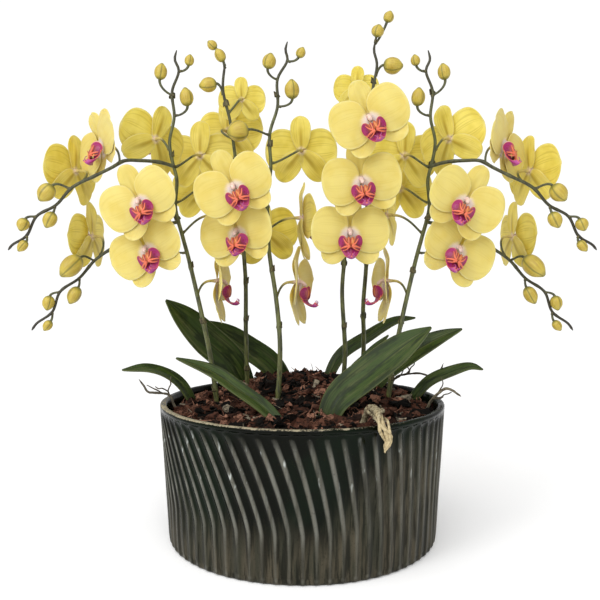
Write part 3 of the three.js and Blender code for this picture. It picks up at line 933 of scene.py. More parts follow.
@dataclass
class Bloom:
    """One flower: five tepals, a column and a three-lobed lip, in its own frame.

    X is to the right of someone facing the flower, Y is up and Z is the way that it faces.
    """

    petal_reach: float = 38 * MM
    petal_height: float = 45 * MM
    sepal_length: float = 37 * MM
    sepal_width: float = 22.5 * MM
    petal_forward: float = 1.5 * MM
    neck: float = 9 * MM
    thickness: float = 0.6 * MM
    lip_size: float = 0.96
    tucked_height: float = 0.56
    side_on_curl: float = 1.9

    def forms(self, drooping: bool) -> list[TepalForm]:
        """The five tepals, back ones first.

        Args:
            drooping: whether the lateral sepals are long and hang close together.

        Returns:
            Their shapes.
        """
        dorsal = TepalForm(TepalKind.DORSAL, 90, self.sepal_length - 1 * MM, self.sepal_width,
                           0.58, 0.35, 0.75, lift=-2.2 * MM, recurve=-1.5 * MM, bulge=-0.5 * MM)
        splay = 70 if drooping else 50
        longer, wider = (8 * MM, 8 * MM) if drooping else (1 * MM, 2.5 * MM)
        laterals = [TepalForm(TepalKind.LATERAL, lean, self.sepal_length + longer, self.sepal_width + wider,
                              0.55, 0.3, 0.7, lift=-2.6 * MM, recurve=-3.5 * MM, bulge=-0.8 * MM)
                    for lean in (-splay, splay - 180)]
        petals = [TepalForm(TepalKind.PETAL, lean, self.petal_reach - 0.5 * MM, self.petal_height + 2 * MM,
                            0.52, 0.12, 0.36, lift=0.4 * MM, recurve=-4.0 * MM, bulge=1.2 * MM)
                  for lean in (1, 179)]
        return [dorsal, *laterals, *petals]

    def tepals(self, variant: int) -> bmesh.types.BMesh:
        """Draws the five tepals.

        Args:
            variant: which of a few slightly different flowers this is.

        Returns:
            Their sheets, with the bloom attribute holding each point's own place in centimetres.
        """
        bm = bmesh.new()
        chance = random.Random(100 + variant)
        for index, form in enumerate(self.forms(variant == DROOPING)):
            tilt, curl = chance.uniform(-3, 3), chance.uniform(0.85, 1.2)
            if variant == DROOPING:
                curl *= self.side_on_curl
            self.tepal(bm, form, tilt, curl, variant * 7.0 + index)
        bloom = bm.verts.layers.float_vector.new("bloom")
        for vert in bm.verts:
            vert[bloom] = vert.co * 100
        return bm

    def tepal(self, bm: bmesh.types.BMesh, form: TepalForm, tilt: float, curl: float, seed: float) -> None:
        """Draws one tepal from a grid that is rounded to a disc and then drawn out.

        Args:
            bm: the mesh to add to.
            form: its shape.
            tilt: degrees added to its lean.
            curl: how much of its usual recurve it has.
            seed: sets its ruffles.
        """
        lean = math.radians(form.lean + tilt)
        out = Vector((math.cos(lean), math.sin(lean), 0))
        side = Vector((-out.y, out.x, 0))

        def shape(s: float, t: float) -> tuple[Vector, Vector]:
            """Where a grid point goes.

            Args:
                s, t: the grid point, from -1 to 1 each way.

            Returns:
                Its place and its grow attribute.
            """
            x = s * math.sqrt(1 - t * t / 2)
            y = t * math.sqrt(1 - s * s / 2)
            chord = math.sqrt(max(1 - x * x, 1e-9))
            across = clamp(y / chord, -1, 1) if chord > 1e-3 else 0.0
            along = (x + 1) / 2
            if along < form.widest:
                part = math.sin(math.pi / 2 * along / form.widest) ** form.fullness
                half = form.claw + (1 - form.claw) * part
            else:
                half = math.sqrt(max(0.0, 1 - ((along - form.widest) / (1 - form.widest)) ** 2.3))
            half *= form.width / 2
            place = out * (form.start + along * form.length) + side * across * half
            rise = form.lift + form.bulge * (math.sin(math.pi * min(along * 1.15, 1.0)) - 0.5 * across ** 2)
            rise -= form.recurve * curl * along ** 2.2
            rise -= 0.9 * MM * abs(across) ** 3 * math.sin(math.pi * along)
            if form.kind is not TepalKind.PETAL:
                rise -= 1.0 * MM * math.exp(-(across / 0.16) ** 2) * (1 - along)
            edge = max(abs(across), along) ** 3
            rise += form.ruffle * edge * math.sin(9 * along + 4 * across + seed)
            place.z = rise
            return place, Vector((along, across, form.kind.value))

        sheet(bm, 14, 12, shape)

    def lip_and_column(self, variant: int) -> bmesh.types.BMesh:
        """Draws the neck, column, side lobes and midlobe, and a callus unless the bloom is side-on.

        Args:
            variant: which of a few slightly different flowers this is.

        Returns:
            Closed shapes; slot 0 is the column's finish and slot 1 the lip's.
        """
        bm = bmesh.new()
        layers(bm)
        droop = random.Random(300 + variant).uniform(-1.2, 1.2) * MM
        neck = Route([(0, 0, -self.neck), (0, 0, -4 * MM), (0, 0.4 * MM, 1 * MM)])
        sweep(bm, neck, 8, 12, lambda share: (1.5 + 1.3 * share) * MM, lambda share: 0.7 * share)
        column = Route([(0, 0.6 * MM, -0.5 * MM), (0, 0.0, 3.5 * MM),
                        (0, -2.4 * MM, 6.4 * MM), (0, -5.0 * MM, 7.2 * MM)])

        def column_girth(share: float) -> float:
            """The column's radius: a swelling near its tip, which closes roundly."""
            cap = 0.3 * math.exp(-((share - 0.8) / 0.14) ** 2) - 1.4 * smoothstep(0.9, 1.0, share)
            return (2.2 - 0.5 * share + cap) * MM

        sweep(bm, column, 10, 14, column_girth, lambda share: 1.0)
        for face in bm.faces:
            face.material_index = 0
        start, first = len(bm.faces), len(bm.verts)
        self.side_lobes(bm)
        self.midlobe(bm, droop, barred=variant != DROOPING)
        if variant != DROOPING:
            self.callus(bm)
        bm.faces.ensure_lookup_table()
        bm.verts.ensure_lookup_table()
        for face in bm.faces[start:]:
            face.material_index = 1
        height = self.tucked_height if variant == TUCKED else self.lip_size
        fit = Matrix.Diagonal((self.lip_size, height, self.lip_size, 1))
        bmesh.ops.transform(bm, matrix=Matrix.Translation((0, 1.2 * MM, 0.4 * MM)) @ fit,
                            verts=bm.verts[first:])
        return bm

    def closed_sheet(self, bm: bmesh.types.BMesh, columns: int, rows: int, thickness: float,
                     shape: Callable[[float, float], tuple[Vector, Vector]]) -> None:
        """Draws a sheet and gives it a thickness at once.

        Args:
            bm: the mesh to add to.
            columns, rows: the grid's size.
            thickness: in metres.
            shape: as for sheet().
        """
        verts = sheet(bm, columns, rows, shape)
        faces = list(dict.fromkeys(facet for vert in verts for facet in vert.link_faces))
        bmesh.ops.recalc_face_normals(bm, faces=faces)
        bmesh.ops.solidify(bm, geom=faces, thickness=thickness)

    def side_lobes(self, bm: bmesh.types.BMesh) -> None:
        """Draws the two side lobes, like upright shells either side of the column.

        Args:
            bm: the mesh to add to.
        """
        for hand in (-1, 1):
            def shape(s: float, t: float, hand: int = hand) -> tuple[Vector, Vector]:
                """Where a grid point goes: a cupped oval that faces forward and inward.

                Args:
                    s, t: the grid point, from -1 to 1 each way.
                    hand: 1 for the right lobe and -1 for the left.

                Returns:
                    Its place and its grow attribute.
                """
                x = s * math.sqrt(1 - t * t / 2)
                y = t * math.sqrt(1 - s * s / 2)
                radius = math.hypot(x, y)
                sideways = 7.9 + 4.5 * x + 0.9 * y
                height = -13.0 + 7.0 * y - 0.6 * x
                forward = 8.2 - 4.3 * x + 2.0 * (1 - radius ** 2) * -0.9 + 0.8 * y * y
                place = Vector((hand * sideways, height, forward)) * MM
                amber = 0.8 * ((1 - x) / 2) ** 1.6
                return place, Vector((0.55 + 0.18 * y + 0.12 * x, min(radius, 1.0), amber))
            self.closed_sheet(bm, 12, 12, 0.5 * MM, shape)

    def midlobe(self, bm: bmesh.types.BMesh, droop: float, barred: bool) -> None:
        """Draws the midlobe, which hangs forward and curls up, its whiskers and its two tendrils.

        Args:
            bm: the mesh to add to.
            droop: how much lower than usual its tip hangs.
            barred: whether the orange bars in its throat show.
        """
        spine = Route([(0, -14.5 * MM, 6.0 * MM), (0, -18.5 * MM, 8.5 * MM), (0, -24.0 * MM, 10.5 * MM),
                       (0, -28.0 * MM - droop, 14.0 * MM), (0, -28.2 * MM - droop, 18.0 * MM),
                       (0, -25.8 * MM - droop, 20.0 * MM)])

        def shape(s: float, t: float) -> tuple[Vector, Vector]:
            """Where a grid point goes: across the curled spine, wide at the shoulders.

            Args:
                s, t: the grid point, from -1 to 1 each way.

            Returns:
                Its place and its grow attribute.
            """
            along = (s + 1) / 2
            if along < 0.26:
                half = 5.5 + 5.2 * smoothstep(0.0, 0.26, along)
            else:
                half = 0.9 + 9.8 * max(0.0, 1 - ((along - 0.26) / 0.745) ** 1.5) ** 1.15
            middle = spine.at(along)
            place = Vector((t * half * MM, middle.y, middle.z))
            place.z -= 3.4 * MM * t * t * (1 - 0.4 * along)
            place.y += 2.4 * MM * t * t
            place.z += 0.9 * MM * math.exp(-(t / 0.25) ** 2)
            amber = 1.0 - smoothstep(0.12, 0.3, along + 0.1 * abs(t))
            return place, Vector((0.3 + 0.7 * along, t, amber))
        self.closed_sheet(bm, 22, 12, 0.7 * MM, shape)
        for hand in (-1, 1):
            bars = [([(0.6, -17.0, 13.2), (5.2, -17.6, 12.4), (10.6, -19.4, 8.8)], 1.5),
                    ([(1.6, -16.0, 13.4), (4.6, -14.2, 12.4), (7.6, -9.2, 10.2)], 1.1),
                    ([(1.2, -17.4, 13.2), (4.6, -20.4, 12.4), (8.4, -21.6, 10.0)], 1.0)]
            for points, radius in bars if barred else []:
                bar = Route([Vector((hand * x, y, z)) * MM for x, y, z in points])
                made = sweep(bm, bar, 8, 8, lambda share, r=radius: r * (1 - 0.65 * share) * MM)
                self.paint(bm, made, (0.5, 1.0, 0.0))
            hook = Route([Vector((hand * x, y, z)) * MM - Vector((0, droop, 0)) for x, y, z in
                          ((0.7, -26.4, 19.6), (1.6, -24.4, 20.8), (3.2, -22.6, 20.2), (3.4, -21.8, 18.4))])
            made = sweep(bm, hook, 8, 6, lambda share: (0.6 - 0.35 * share) * MM)
            self.paint(bm, made, (0.9, 0.2, 0.0))

    def callus(self, bm: bmesh.types.BMesh) -> None:
        """Draws the two-lobed amber callus in the lip's throat.

        Args:
            bm: the mesh to add to.
        """
        for hand in (-1, 1):
            verts = bmesh.ops.create_icosphere(bm, subdivisions=2, radius=1.0)["verts"]
            seat = Matrix.Translation((hand * 2.0 * MM, -12.4 * MM, 10.4 * MM))
            bmesh.ops.transform(bm, verts=verts, matrix=seat @ Matrix.Rotation(math.radians(-18), 4, "X")
                                @ Matrix.Diagonal((2.5 * MM, 5.4 * MM, 2.4 * MM, 1)))
            grow, _ = layers(bm)
            for vert in verts:
                vert[grow] = (0.5 + vert.co.y * 60, vert.co.x * 160, 1.0)

    @staticmethod
    def paint(bm: bmesh.types.BMesh, verts: Sequence[bmesh.types.BMVert],
              grow: tuple[float, float, float]) -> None:
        """Sets the grow attribute of some vertices to one value.

        Args:
            bm: the mesh.
            verts: the vertices.
            grow: the value.
        """
        layer, _ = layers(bm)
        for vert in verts:
            vert[layer] = grow


@dataclass(frozen=True)
class Placement:
    """Where a CAD flower is and how it is turned."""

    hub: Vector
    right: Vector
    up: Vector
    face: Vector
    size: float

    @classmethod
    def of_node(cls, node: str, bloom: Bloom) -> Placement:
        """Reads a placement from the CAD flower's own mesh.

        The two outer ends of the petals are the mesh's farthest pair of corners, and each has its
        sibling a petal's thickness away, along the way that the flower faces.

        Args:
            node: the CAD node.
            bloom: the flower's sizes.

        Returns:
            The placement of the flower's own frame.
        """
        mesh = frame["nodes"][node].data
        corners = np.empty(len(mesh.vertices) * 3)
        mesh.vertices.foreach_get("co", corners)
        corners = np.unique(np.round(corners.reshape(-1, 3), 6), axis=0)
        apart = np.linalg.norm(corners[:, None] - corners[None], axis=2)
        one, other = np.unravel_index(np.argmax(apart), apart.shape)
        middle = (corners[one] + corners[other]) / 2
        sibling = np.argsort(apart[one])[1]
        face = corners[one] - corners[sibling]
        face /= np.linalg.norm(face)
        if np.abs(((corners - middle) @ face).min()) > ((corners - middle) @ face).max():
            face = -face
        right = corners[other] - corners[one]
        right -= face * (right @ face)
        right /= np.linalg.norm(right)
        up = np.cross(face, right)
        if np.abs(((corners - middle) @ up).min()) > ((corners - middle) @ up).max():
            up, right = -up, -right
        size = float(apart[one, other]) / (2 * bloom.petal_reach)
        hub = middle - face * bloom.petal_forward * size
        return cls(Vector(hub), Vector(right), Vector(up), Vector(face), size)

    def matrix(self) -> Matrix:
        """The placement as a matrix.

        Returns:
            The matrix.
        """
        matrix = Matrix((self.right, self.up, self.face)).transposed().to_4x4()
        matrix.translation = self.hub
        return matrix @ Matrix.Scale(self.size, 4)


@dataclass
class Flowers:
    """All the blooms, drawn as a few variants and set in their places."""

    bloom: Bloom = field(default_factory=Bloom)
    variants: int = TUCKED + 1
    side_on: tuple[str, ...] = ("flower_1_10", "flower_3_2", "flower_3_4", "flower_6_10")
    away: float = 0.3
    back_pale: Colour = srgb(238, 219, 118)
    back_deep: Colour = srgb(220, 197, 78)
    drawn: dict[tuple[str, int], bpy.types.Mesh] = field(default_factory=dict)

    def nodes(self) -> list[str]:
        """The CAD nodes that are flowers."""
        return sorted(name for name in frame["nodes"] if name.startswith("flower_"))

    def draw(self) -> None:
        """Draws every variant once."""
        for variant in range(self.variants):
            for part, made in (("tepals", self.bloom.tepals(variant)),
                               ("lip", self.bloom.lip_and_column(variant))):
                mesh = bpy.data.meshes.new(f"{part}_{variant}")
                made.to_mesh(mesh)
                made.free()
                self.drawn[part, variant] = mesh

    def build(self) -> None:
        """Sets a copy of a variant in the place of each CAD flower."""
        self.draw()
        front = TepalFinish(Side.FRONT).make()
        back = TepalFinish(Side.BACK, self.back_pale, self.back_deep).make()
        column, lip = ColumnFinish().make(), LipFinish().make()
        for index, node in enumerate(self.nodes()):
            where = Placement.of_node(node, self.bloom)
            place = where.matrix()
            variant = DROOPING if node in self.side_on else index % DROOPING
            tepals = self.copy("tepals", variant, place, f"{node}_tepals", [front, back], node)
            thicken(tepals, self.bloom.thickness, back=1)
            lip_variant = TUCKED if where.face.y > self.away else variant
            self.copy("lip", lip_variant, place, f"{node}_lip", [column, lip], node)

    def copy(self, part: str, variant: int, place: Matrix, name: str,
             finishes: list[bpy.types.Material], node: str) -> bpy.types.Object:
        """Makes one placed piece from a drawn variant.

        Args:
            part: tepals or lip.
            variant: which variant.
            place: the flower's placement.
            name: the piece's name.
            finishes: its materials.
            node: the CAD node that it stands for.

        Returns:
            The piece.
        """
        bm = bmesh.new()
        bm.from_mesh(self.drawn[part, variant])
        bmesh.ops.transform(bm, matrix=place, verts=bm.verts)
        return finish_piece(bm, name, finishes, [node])


# ------------------------------------------------------------------ spikes

@dataclass
class Spike:
    """One flower spike: a stem, its branches, the flower stalks and the buds."""

    stem: list[Point]
    buds: list[tuple[Point, Point, Point, float]]
    arches: list[list[Point]] = field(default_factory=list)
    stem_radius: float = 2.8 * MM
    tip_radius: float = 1.3 * MM
    arch_radius: float = 1.9 * MM
    stalk_radius: float = 1.15 * MM
    stalk_rise: float = 14 * MM
    gap: float = 0.35 * MM

    def mirrored(self) -> Spike:
        """The same spike, left for right.

        Returns:
            The mirrored spike.
        """
        def flip(point: Point) -> Point:
            """A point on the other side."""
            return (-point[0], point[1], point[2])
        return Spike([flip(p) for p in self.stem],
                     [(flip(a), flip(b), flip(c), width) for a, b, c, width in self.buds],
                     [[flip(p) for p in arch] for arch in self.arches])


@dataclass
class SpikeBuilder:
    """Draws a spike in its place on the rim's level."""

    spike: Spike
    number: int
    rim: float
    bloom: Bloom = field(default_factory=Bloom)

    def lifted(self, point: Point) -> Vector:
        """A listed point, in metres in the part's frame."""
        return Vector(point) * MM + Vector((0, 0, self.rim))

    def build(self, stem: bpy.types.Material, bud: bpy.types.Material, bract: bpy.types.Material) -> None:
        """Draws the spike's green parts, its buds and its bracts as three pieces.

        Args:
            stem, bud, bract: their finishes.
        """
        node = f"spike_{self.number}"
        spike = self.spike
        green, husks, buds = bmesh.new(), bmesh.new(), bmesh.new()
        for bm in (green, husks, buds):
            layers(bm)
        main = Route([self.lifted(p) for p in spike.stem])
        arches = [Route([self.lifted(p) for p in arch]) for arch in spike.arches]
        joints = self.joints(main)
        sweep(green, main, 110, 12, lambda share: self.girth(share, spike.stem_radius, joints, main),
              lambda share: 0.85 * smoothstep(0.72, 1.0, share))
        for arch in arches:
            knots = self.joints(arch, 30 * MM)
            sweep(green, arch, 70, 10, lambda share: self.girth(share, spike.arch_radius, knots, arch),
                  lambda share: 0.45 + 0.5 * smoothstep(0.3, 1.0, share))
        for share in joints:
            self.bract(husks, main, share, spike.stem_radius, 6.5 * MM)
        for index, (start, base, tip, width) in enumerate(spike.buds):
            foot, top = self.lifted(base), self.lifted(tip)
            way = (top - foot).normalized()
            self.stalk(green, husks, self.lifted(start), foot + way * 1.2 * MM, way, 0.55, 0.15)
            self.bud(buds, foot, top, width * MM, self.number * 20 + index)
        for name in sorted(n for n in frame["nodes"] if n.startswith(f"flower_{self.number}_")):
            place = Placement.of_node(name, self.bloom)
            neck = place.hub - place.face * (self.bloom.neck * place.size + 0.1 * MM)
            low = neck - Vector((0, 0, spike.stalk_rise))
            start = min((route.at(i / 60) for route in (main, *arches) for i in range(61)),
                        key=lambda point: (point - low).length)
            self.stalk(green, husks, start, neck, place.face, 0.15, 1.0)
        finish_piece(green, f"{node}_stem", [stem], [node])
        finish_piece(husks, f"{node}_bracts", [bract], [node])
        if spike.buds:
            finish_piece(buds, f"{node}_buds", [bud], [node])
        else:
            buds.free()

    def joints(self, route: Route, gap: float = 58 * MM) -> list[float]:
        """The shares of a stem's length at which it has a node.

        Args:
            route: the stem.
            gap: about how far apart the nodes are.

        Returns:
            The shares.
        """
        count = int(route.length / gap)
        chance = random.Random(self.number)
        return [(index + 0.7 + chance.uniform(-0.15, 0.15)) / (count + 0.5) for index in range(count)]

    def girth(self, share: float, base: float, joints: Sequence[float], route: Route) -> float:
        """A stem's radius: tapered, with a swelling at each node and a closed tip.

        Args:
            share: how far along the stem.
            base: the radius at its foot.
            joints: the shares at which it has a node.
            route: the stem.

        Returns:
            The radius in metres.
        """
        radius = base + (self.spike.tip_radius - base) * share
        for joint in joints:
            radius *= 1 + 0.2 * math.exp(-((share - joint) * route.length / (2.6 * MM)) ** 2)
        return radius * (1 - 0.6 * smoothstep(0.985, 1.0, share))

    def stalk(self, bm: bmesh.types.BMesh, husks: bmesh.types.BMesh, start: Vector, end: Vector,
              arriving: Vector, dark: float, pale: float) -> None:
        """Draws the short stalk of a flower or a bud, and the bract below it.

        Args:
            bm: the mesh for the stalk.
            husks: the mesh for the bract.
            start, end: where it leaves the stem and where it arrives.
            arriving: its direction at the end.
            dark: how dark it is at the stem.
            pale: how pale it is where it arrives.
        """
        span = (end - start).length
        before = end - arriving * 0.4 * span
        after = start.lerp(before, 0.35) - Vector((0, 0, 0.08 * span))
        points = []
        for step in range(9):
            t = step / 8
            points.append(start * (1 - t) ** 3 + after * 3 * t * (1 - t) ** 2
                          + before * 3 * t * t * (1 - t) + end * t ** 3)
        route = Route(points)
        radius = self.spike.stalk_radius

        def girth(share: float) -> float:
            """The stalk's radius: swollen where it leaves the stem and again where it arrives."""
            return radius * (1 + 0.5 * math.exp(-(share / 0.06) ** 2) + 0.35 * share ** 4)

        made = sweep(bm, route, 18, 9, girth, lambda share: dark * (1 - 0.6 * share))
        grow, _ = layers(bm)
        for vert in made:
            along, around, _ = vert[grow]
            vert[grow] = (along, around, pale * smoothstep(0.35, 1.0, along / route.length))
        self.bract(husks, route, 0.05, radius, 3.4 * MM)

    def bract(self, bm: bmesh.types.BMesh, route: Route, share: float, radius: float, length: float) -> None:
        """Draws a pointed scale that clasps one side of a stem.

        Args:
            bm: the mesh to add to.
            route: the stem's middle line.
            share: where the scale's foot is.
            radius: the stem's radius.
            length: the scale's length.
        """
        chance = random.Random(int(share * 9973) + self.number)
        turn = Matrix.Rotation(chance.uniform(0, 2 * math.pi), 4, "Z")
        place = route.frame(share, clear_face(route)) @ turn

        def shape(s: float, t: float) -> tuple[Vector, Vector]:
            """Where a grid point goes: a strip wrapped round the stem that narrows to a point.

            Args:
                s, t: the grid point, from -1 to 1 each way.

            Returns:
                Its place and its grow attribute.
            """
            along = (s + 1) / 2
            reach = (1 - along ** 1.6) * 2.0
            angle = t * reach
            out = radius * (1.2 + 0.22 * along ** 2)
            local = Vector((math.cos(angle) * out, math.sin(angle) * out, along * length - 0.15 * length))
            return place @ local, Vector((along, t, 0))

        verts = sheet(bm, 5, 6, shape)
        faces = list(dict.fromkeys(facet for vert in verts for facet in vert.link_faces))
        bmesh.ops.solidify(bm, geom=faces, thickness=-0.3 * MM)

    def bud(self, bm: bmesh.types.BMesh, foot: Vector, tip: Vector, width: float, seed: int) -> None:
        """Draws a closed bud: an egg with three seams and a blunt point.

        Args:
            bm: the mesh to add to.
            foot, tip: its two ends.
            width: across its middle.
            seed: sets how it differs from its neighbours.
        """
        grow, _ = layers(bm)
        chance = random.Random(seed)
        way = tip - foot
        length = way.length
        width *= 1.06
        route = Route([foot, foot.lerp(tip, 0.5), tip])
        place = route.frame(0.5, clear_face(route)) @ Matrix.Rotation(chance.uniform(0, 2), 4, "Z")
        verts = bmesh.ops.create_uvsphere(bm, u_segments=24, v_segments=14, radius=1.0)["verts"]
        for vert in verts:
            up = (vert.co.z + 1) / 2
            angle = math.atan2(vert.co.y, vert.co.x)
            third = (angle / (2 * math.pi / 3)) % 1.0
            across = abs(third - 0.5) * 2
            ring = math.hypot(vert.co.x, vert.co.y)
            swell = 1.0 + 0.14 * (0.5 - up) - 0.16 * smoothstep(0.7, 1.0, up)
            groove = 1 - 0.075 * math.exp(-((1 - across) / 0.16) ** 2) * smoothstep(0.05, 0.35, up)
            ridge = 1 + 0.02 * math.exp(-(across / 0.2) ** 2)
            scale = ring * swell * groove * ridge * width / 2
            bend = 0.07 * length * (up - 0.5) ** 2
            local = Vector((math.cos(angle) * scale + bend, math.sin(angle) * scale, (up - 0.5) * length))
            local.z += 0.03 * length * smoothstep(0.92, 1.0, up)
            vert.co = place @ local
            vert[grow] = (up, across, float(seed))


EDGE_SPIKE = Spike(
    stem=[(-87, 14, -28), (-95, 10, 39), (-102, 6, 78), (-116, 2, 143), (-122, 0, 167), (-129, 0, 196),
          (-127, -2, 224), (-131, -2, 241), (-134, -2, 262), (-129, -2, 287), (-131, -2, 312), (-124, -2, 333),
          (-128, -2, 344), (-126, -2, 353)],
    arches=[
        [(-128, -2, 237), (-143, -8, 241), (-162, -14, 242), (-176, -20, 241), (-187, -25, 234),
         (-202, -28, 226), (-225, -30, 214), (-241, -30, 197), (-261, -28, 186), (-272, -26, 167),
         (-287, -24, 158), (-291, -24, 153)],
        [(-125, 0, 182), (-157, 10, 176), (-179, 18, 167), (-193, 22, 159), (-217, 22, 143),
         (-233, 18, 124), (-252, 14, 110), (-260, 12, 89), (-276, 10, 77), (-281, 10, 70)],
    ],
    buds=[
        ((-129, -2, 308), (-143, -5, 323), (-140, -6, 339), 12),
        ((-129, -2, 288), (-115, -5, 297), (-117, -7, 315), 13),
        ((-124, -2, 332), (-114, -4, 337), (-112, -5, 348), 9),
        ((-227, -30, 213), (-243, -33, 216), (-255, -36, 201), 16),
        ((-242, -30, 196), (-243, -32, 190), (-250, -34, 175), 13),
        ((-261, -28, 186), (-271, -30, 184), (-276, -32, 172), 12),
        ((-272, -26, 167), (-271, -28, 162), (-279, -30, 152), 9),
        ((-218, 22, 142), (-229, 10, 146), (-246, -2, 127), 19),
        ((-233, 18, 124), (-233, 15, 115), (-242, 12, 98), 13),
        ((-252, 14, 110), (-262, 12, 106), (-265, 10, 91), 12),
        ((-260, 12, 89), (-261, 11, 80), (-268, 9, 70), 9),
    ],
)

INNER_SPIKES = [
    Spike(
        stem=[(-60, 62, -24), (-61, 45, 59), (-60, 30, 119), (-61, 20, 147), (-64, 8, 199), (-69, 2, 254),
              (-73, 0, 283), (-80, 0, 315), (-78, 0, 340)],
        buds=[
            ((-80, 0, 309), (-86, -3, 320), (-103, -6, 317), 14),
            ((-78, 0, 338), (-79, -1, 342), (-86, -4, 354), 10),
            ((-78, 0, 336), (-87, 4, 356), (-95, 2, 363), 9),
        ],
    ),
    Spike(
        stem=[(-27, -3, -30), (-23, -4, 37), (-23, -4, 63), (-27, -3, 106), (-34, 0, 153), (-35, 0, 184),
              (-36, 0, 205), (-32, 0, 236), (-33, 0, 270), (-25, 0, 298), (-25, 0, 325), (-15, 0, 344),
              (-17, 0, 354), (-15, 0, 362)],
        buds=[
            ((-33, 0, 269), (-54, -12, 273), (-74, -18, 269), 20),
            ((-24, 0, 324), (-35, -4, 334), (-31, -6, 349), 13),
            ((-25, 0, 298), (-10, -5, 304), (-11, -7, 323), 14),
            ((-15, 0, 343), (-4, -4, 345), (1, -5, 355), 9),
        ],
    ),
    Spike(
        stem=[(42, 46, -24), (46, 36, 43), (45, 32, 63), (42, 24, 110), (44, 20, 143), (49, 16, 205),
              (53, 16, 267), (51, 16, 312)],
        buds=[],
    ),
    Spike(
        stem=[(66, 77, -24), (68, 60, 52), (66, 46, 92), (68, 32, 140), (67, 14, 205), (66, 4, 255),
              (71, 0, 315), (75, 0, 340), (72, 0, 353), (73, 0, 362)],
        buds=[
            ((74, 0, 328), (81, -4, 338), (100, -7, 336), 16),
            ((73, 0, 361), (74, -1, 366), (77, -3, 378), 12),
            ((73, 0, 360), (85, 4, 382), (89, 3, 393), 10),
        ],
    ),
]


# ------------------------------------------------------------------ leaves and roots

@dataclass(frozen=True)
class Leaf:
    """A strap leaf: its route, its width in millimetres and the way its upper face looks."""

    route: list[Point]
    width: float
    face: Point
    over_rim: bool = False


LEAVES = [
    Leaf([(-57, 82, -20), (-78, 68, 25), (-106, 50, 56), (-128, 34, 82), (-144, 24, 101)],
         38, (0.3, -0.9, 0.5)),
    Leaf([(-8, 100, -18), (-37, 96, 22), (-70, 88, 47), (-105, 76, 74)], 30, (0.3, -0.9, 0.5)),
    Leaf([(-8, -74, -26), (-37, -62, 3), (-63, -50, 19), (-89, -36, 34), (-126, -26, 46)],
         17, (0.1, -0.6, 0.8)),
    Leaf([(21, -60, -26), (32, -56, 7), (66, -48, 35), (99, -42, 60), (126, -38, 78)], 33, (-0.3, -0.9, 0.5)),
    Leaf([(60, 50, -22), (84, 46, 14), (116, 38, 41), (147, 32, 60), (170, 28, 70)], 24, (-0.2, -0.8, 0.6)),
    Leaf([(22, 98, -18), (43, 99, 30), (75, 98, 53), (107, 92, 73), (129, 86, 77)], 17, (-0.2, -0.7, 0.7)),
    Leaf([(41, 22, -18), (53, 21, 24), (67, 19, 40), (90, 14, 65)], 11, (-0.3, -0.8, 0.5)),
    Leaf([(-33, -103, -24), (-17, -99, 9), (-3, -96, 23), (16, -93, 30), (41, -90, 30)],
         15, (0.2, -0.5, 0.8), True),
    Leaf([(-25, 113, -24), (-4, 106, 10), (14, 101, 22), (35, 98, 30), (46, 95, 28)],
         16, (-0.2, -0.6, 0.8), True),
]


@dataclass(frozen=True)
class Root:
    """An aerial root: its route from the rim, its girth, and 1 for creamy or -1 for dried dark."""

    route: list[Point]
    girth: float
    creamy: float = 0.0


ROOTS = [
    Root([(-24, -86, -26), (-14, -87, -6), (-8, -88, 5), (2, -88, 7), (14, -89, 8), (18, -90, 13),
          (24, -91, 20)], 0.62, -1.0),
    Root([(-58, 38, -22), (-37, 34, 6), (-15, 30, 10), (4, 27, 5), (6, 28, -2), (7, 29, -11),
          (6, 28, -22)], 1.5, 1.0),
    Root([(-24, 85, -24), (-14, 86, -2), (-7, 86, 7), (2, 87, 12), (10, 88, 9), (18, 89, 3)], 0.7, -0.6),
    Root([(-27, 124, -22), (-22, 123, 10), (-14, 120, 15), (-2, 116, 17), (11, 112, 15), (17, 110, 22),
          (19, 109, 30)], 0.55, -1.0),
]


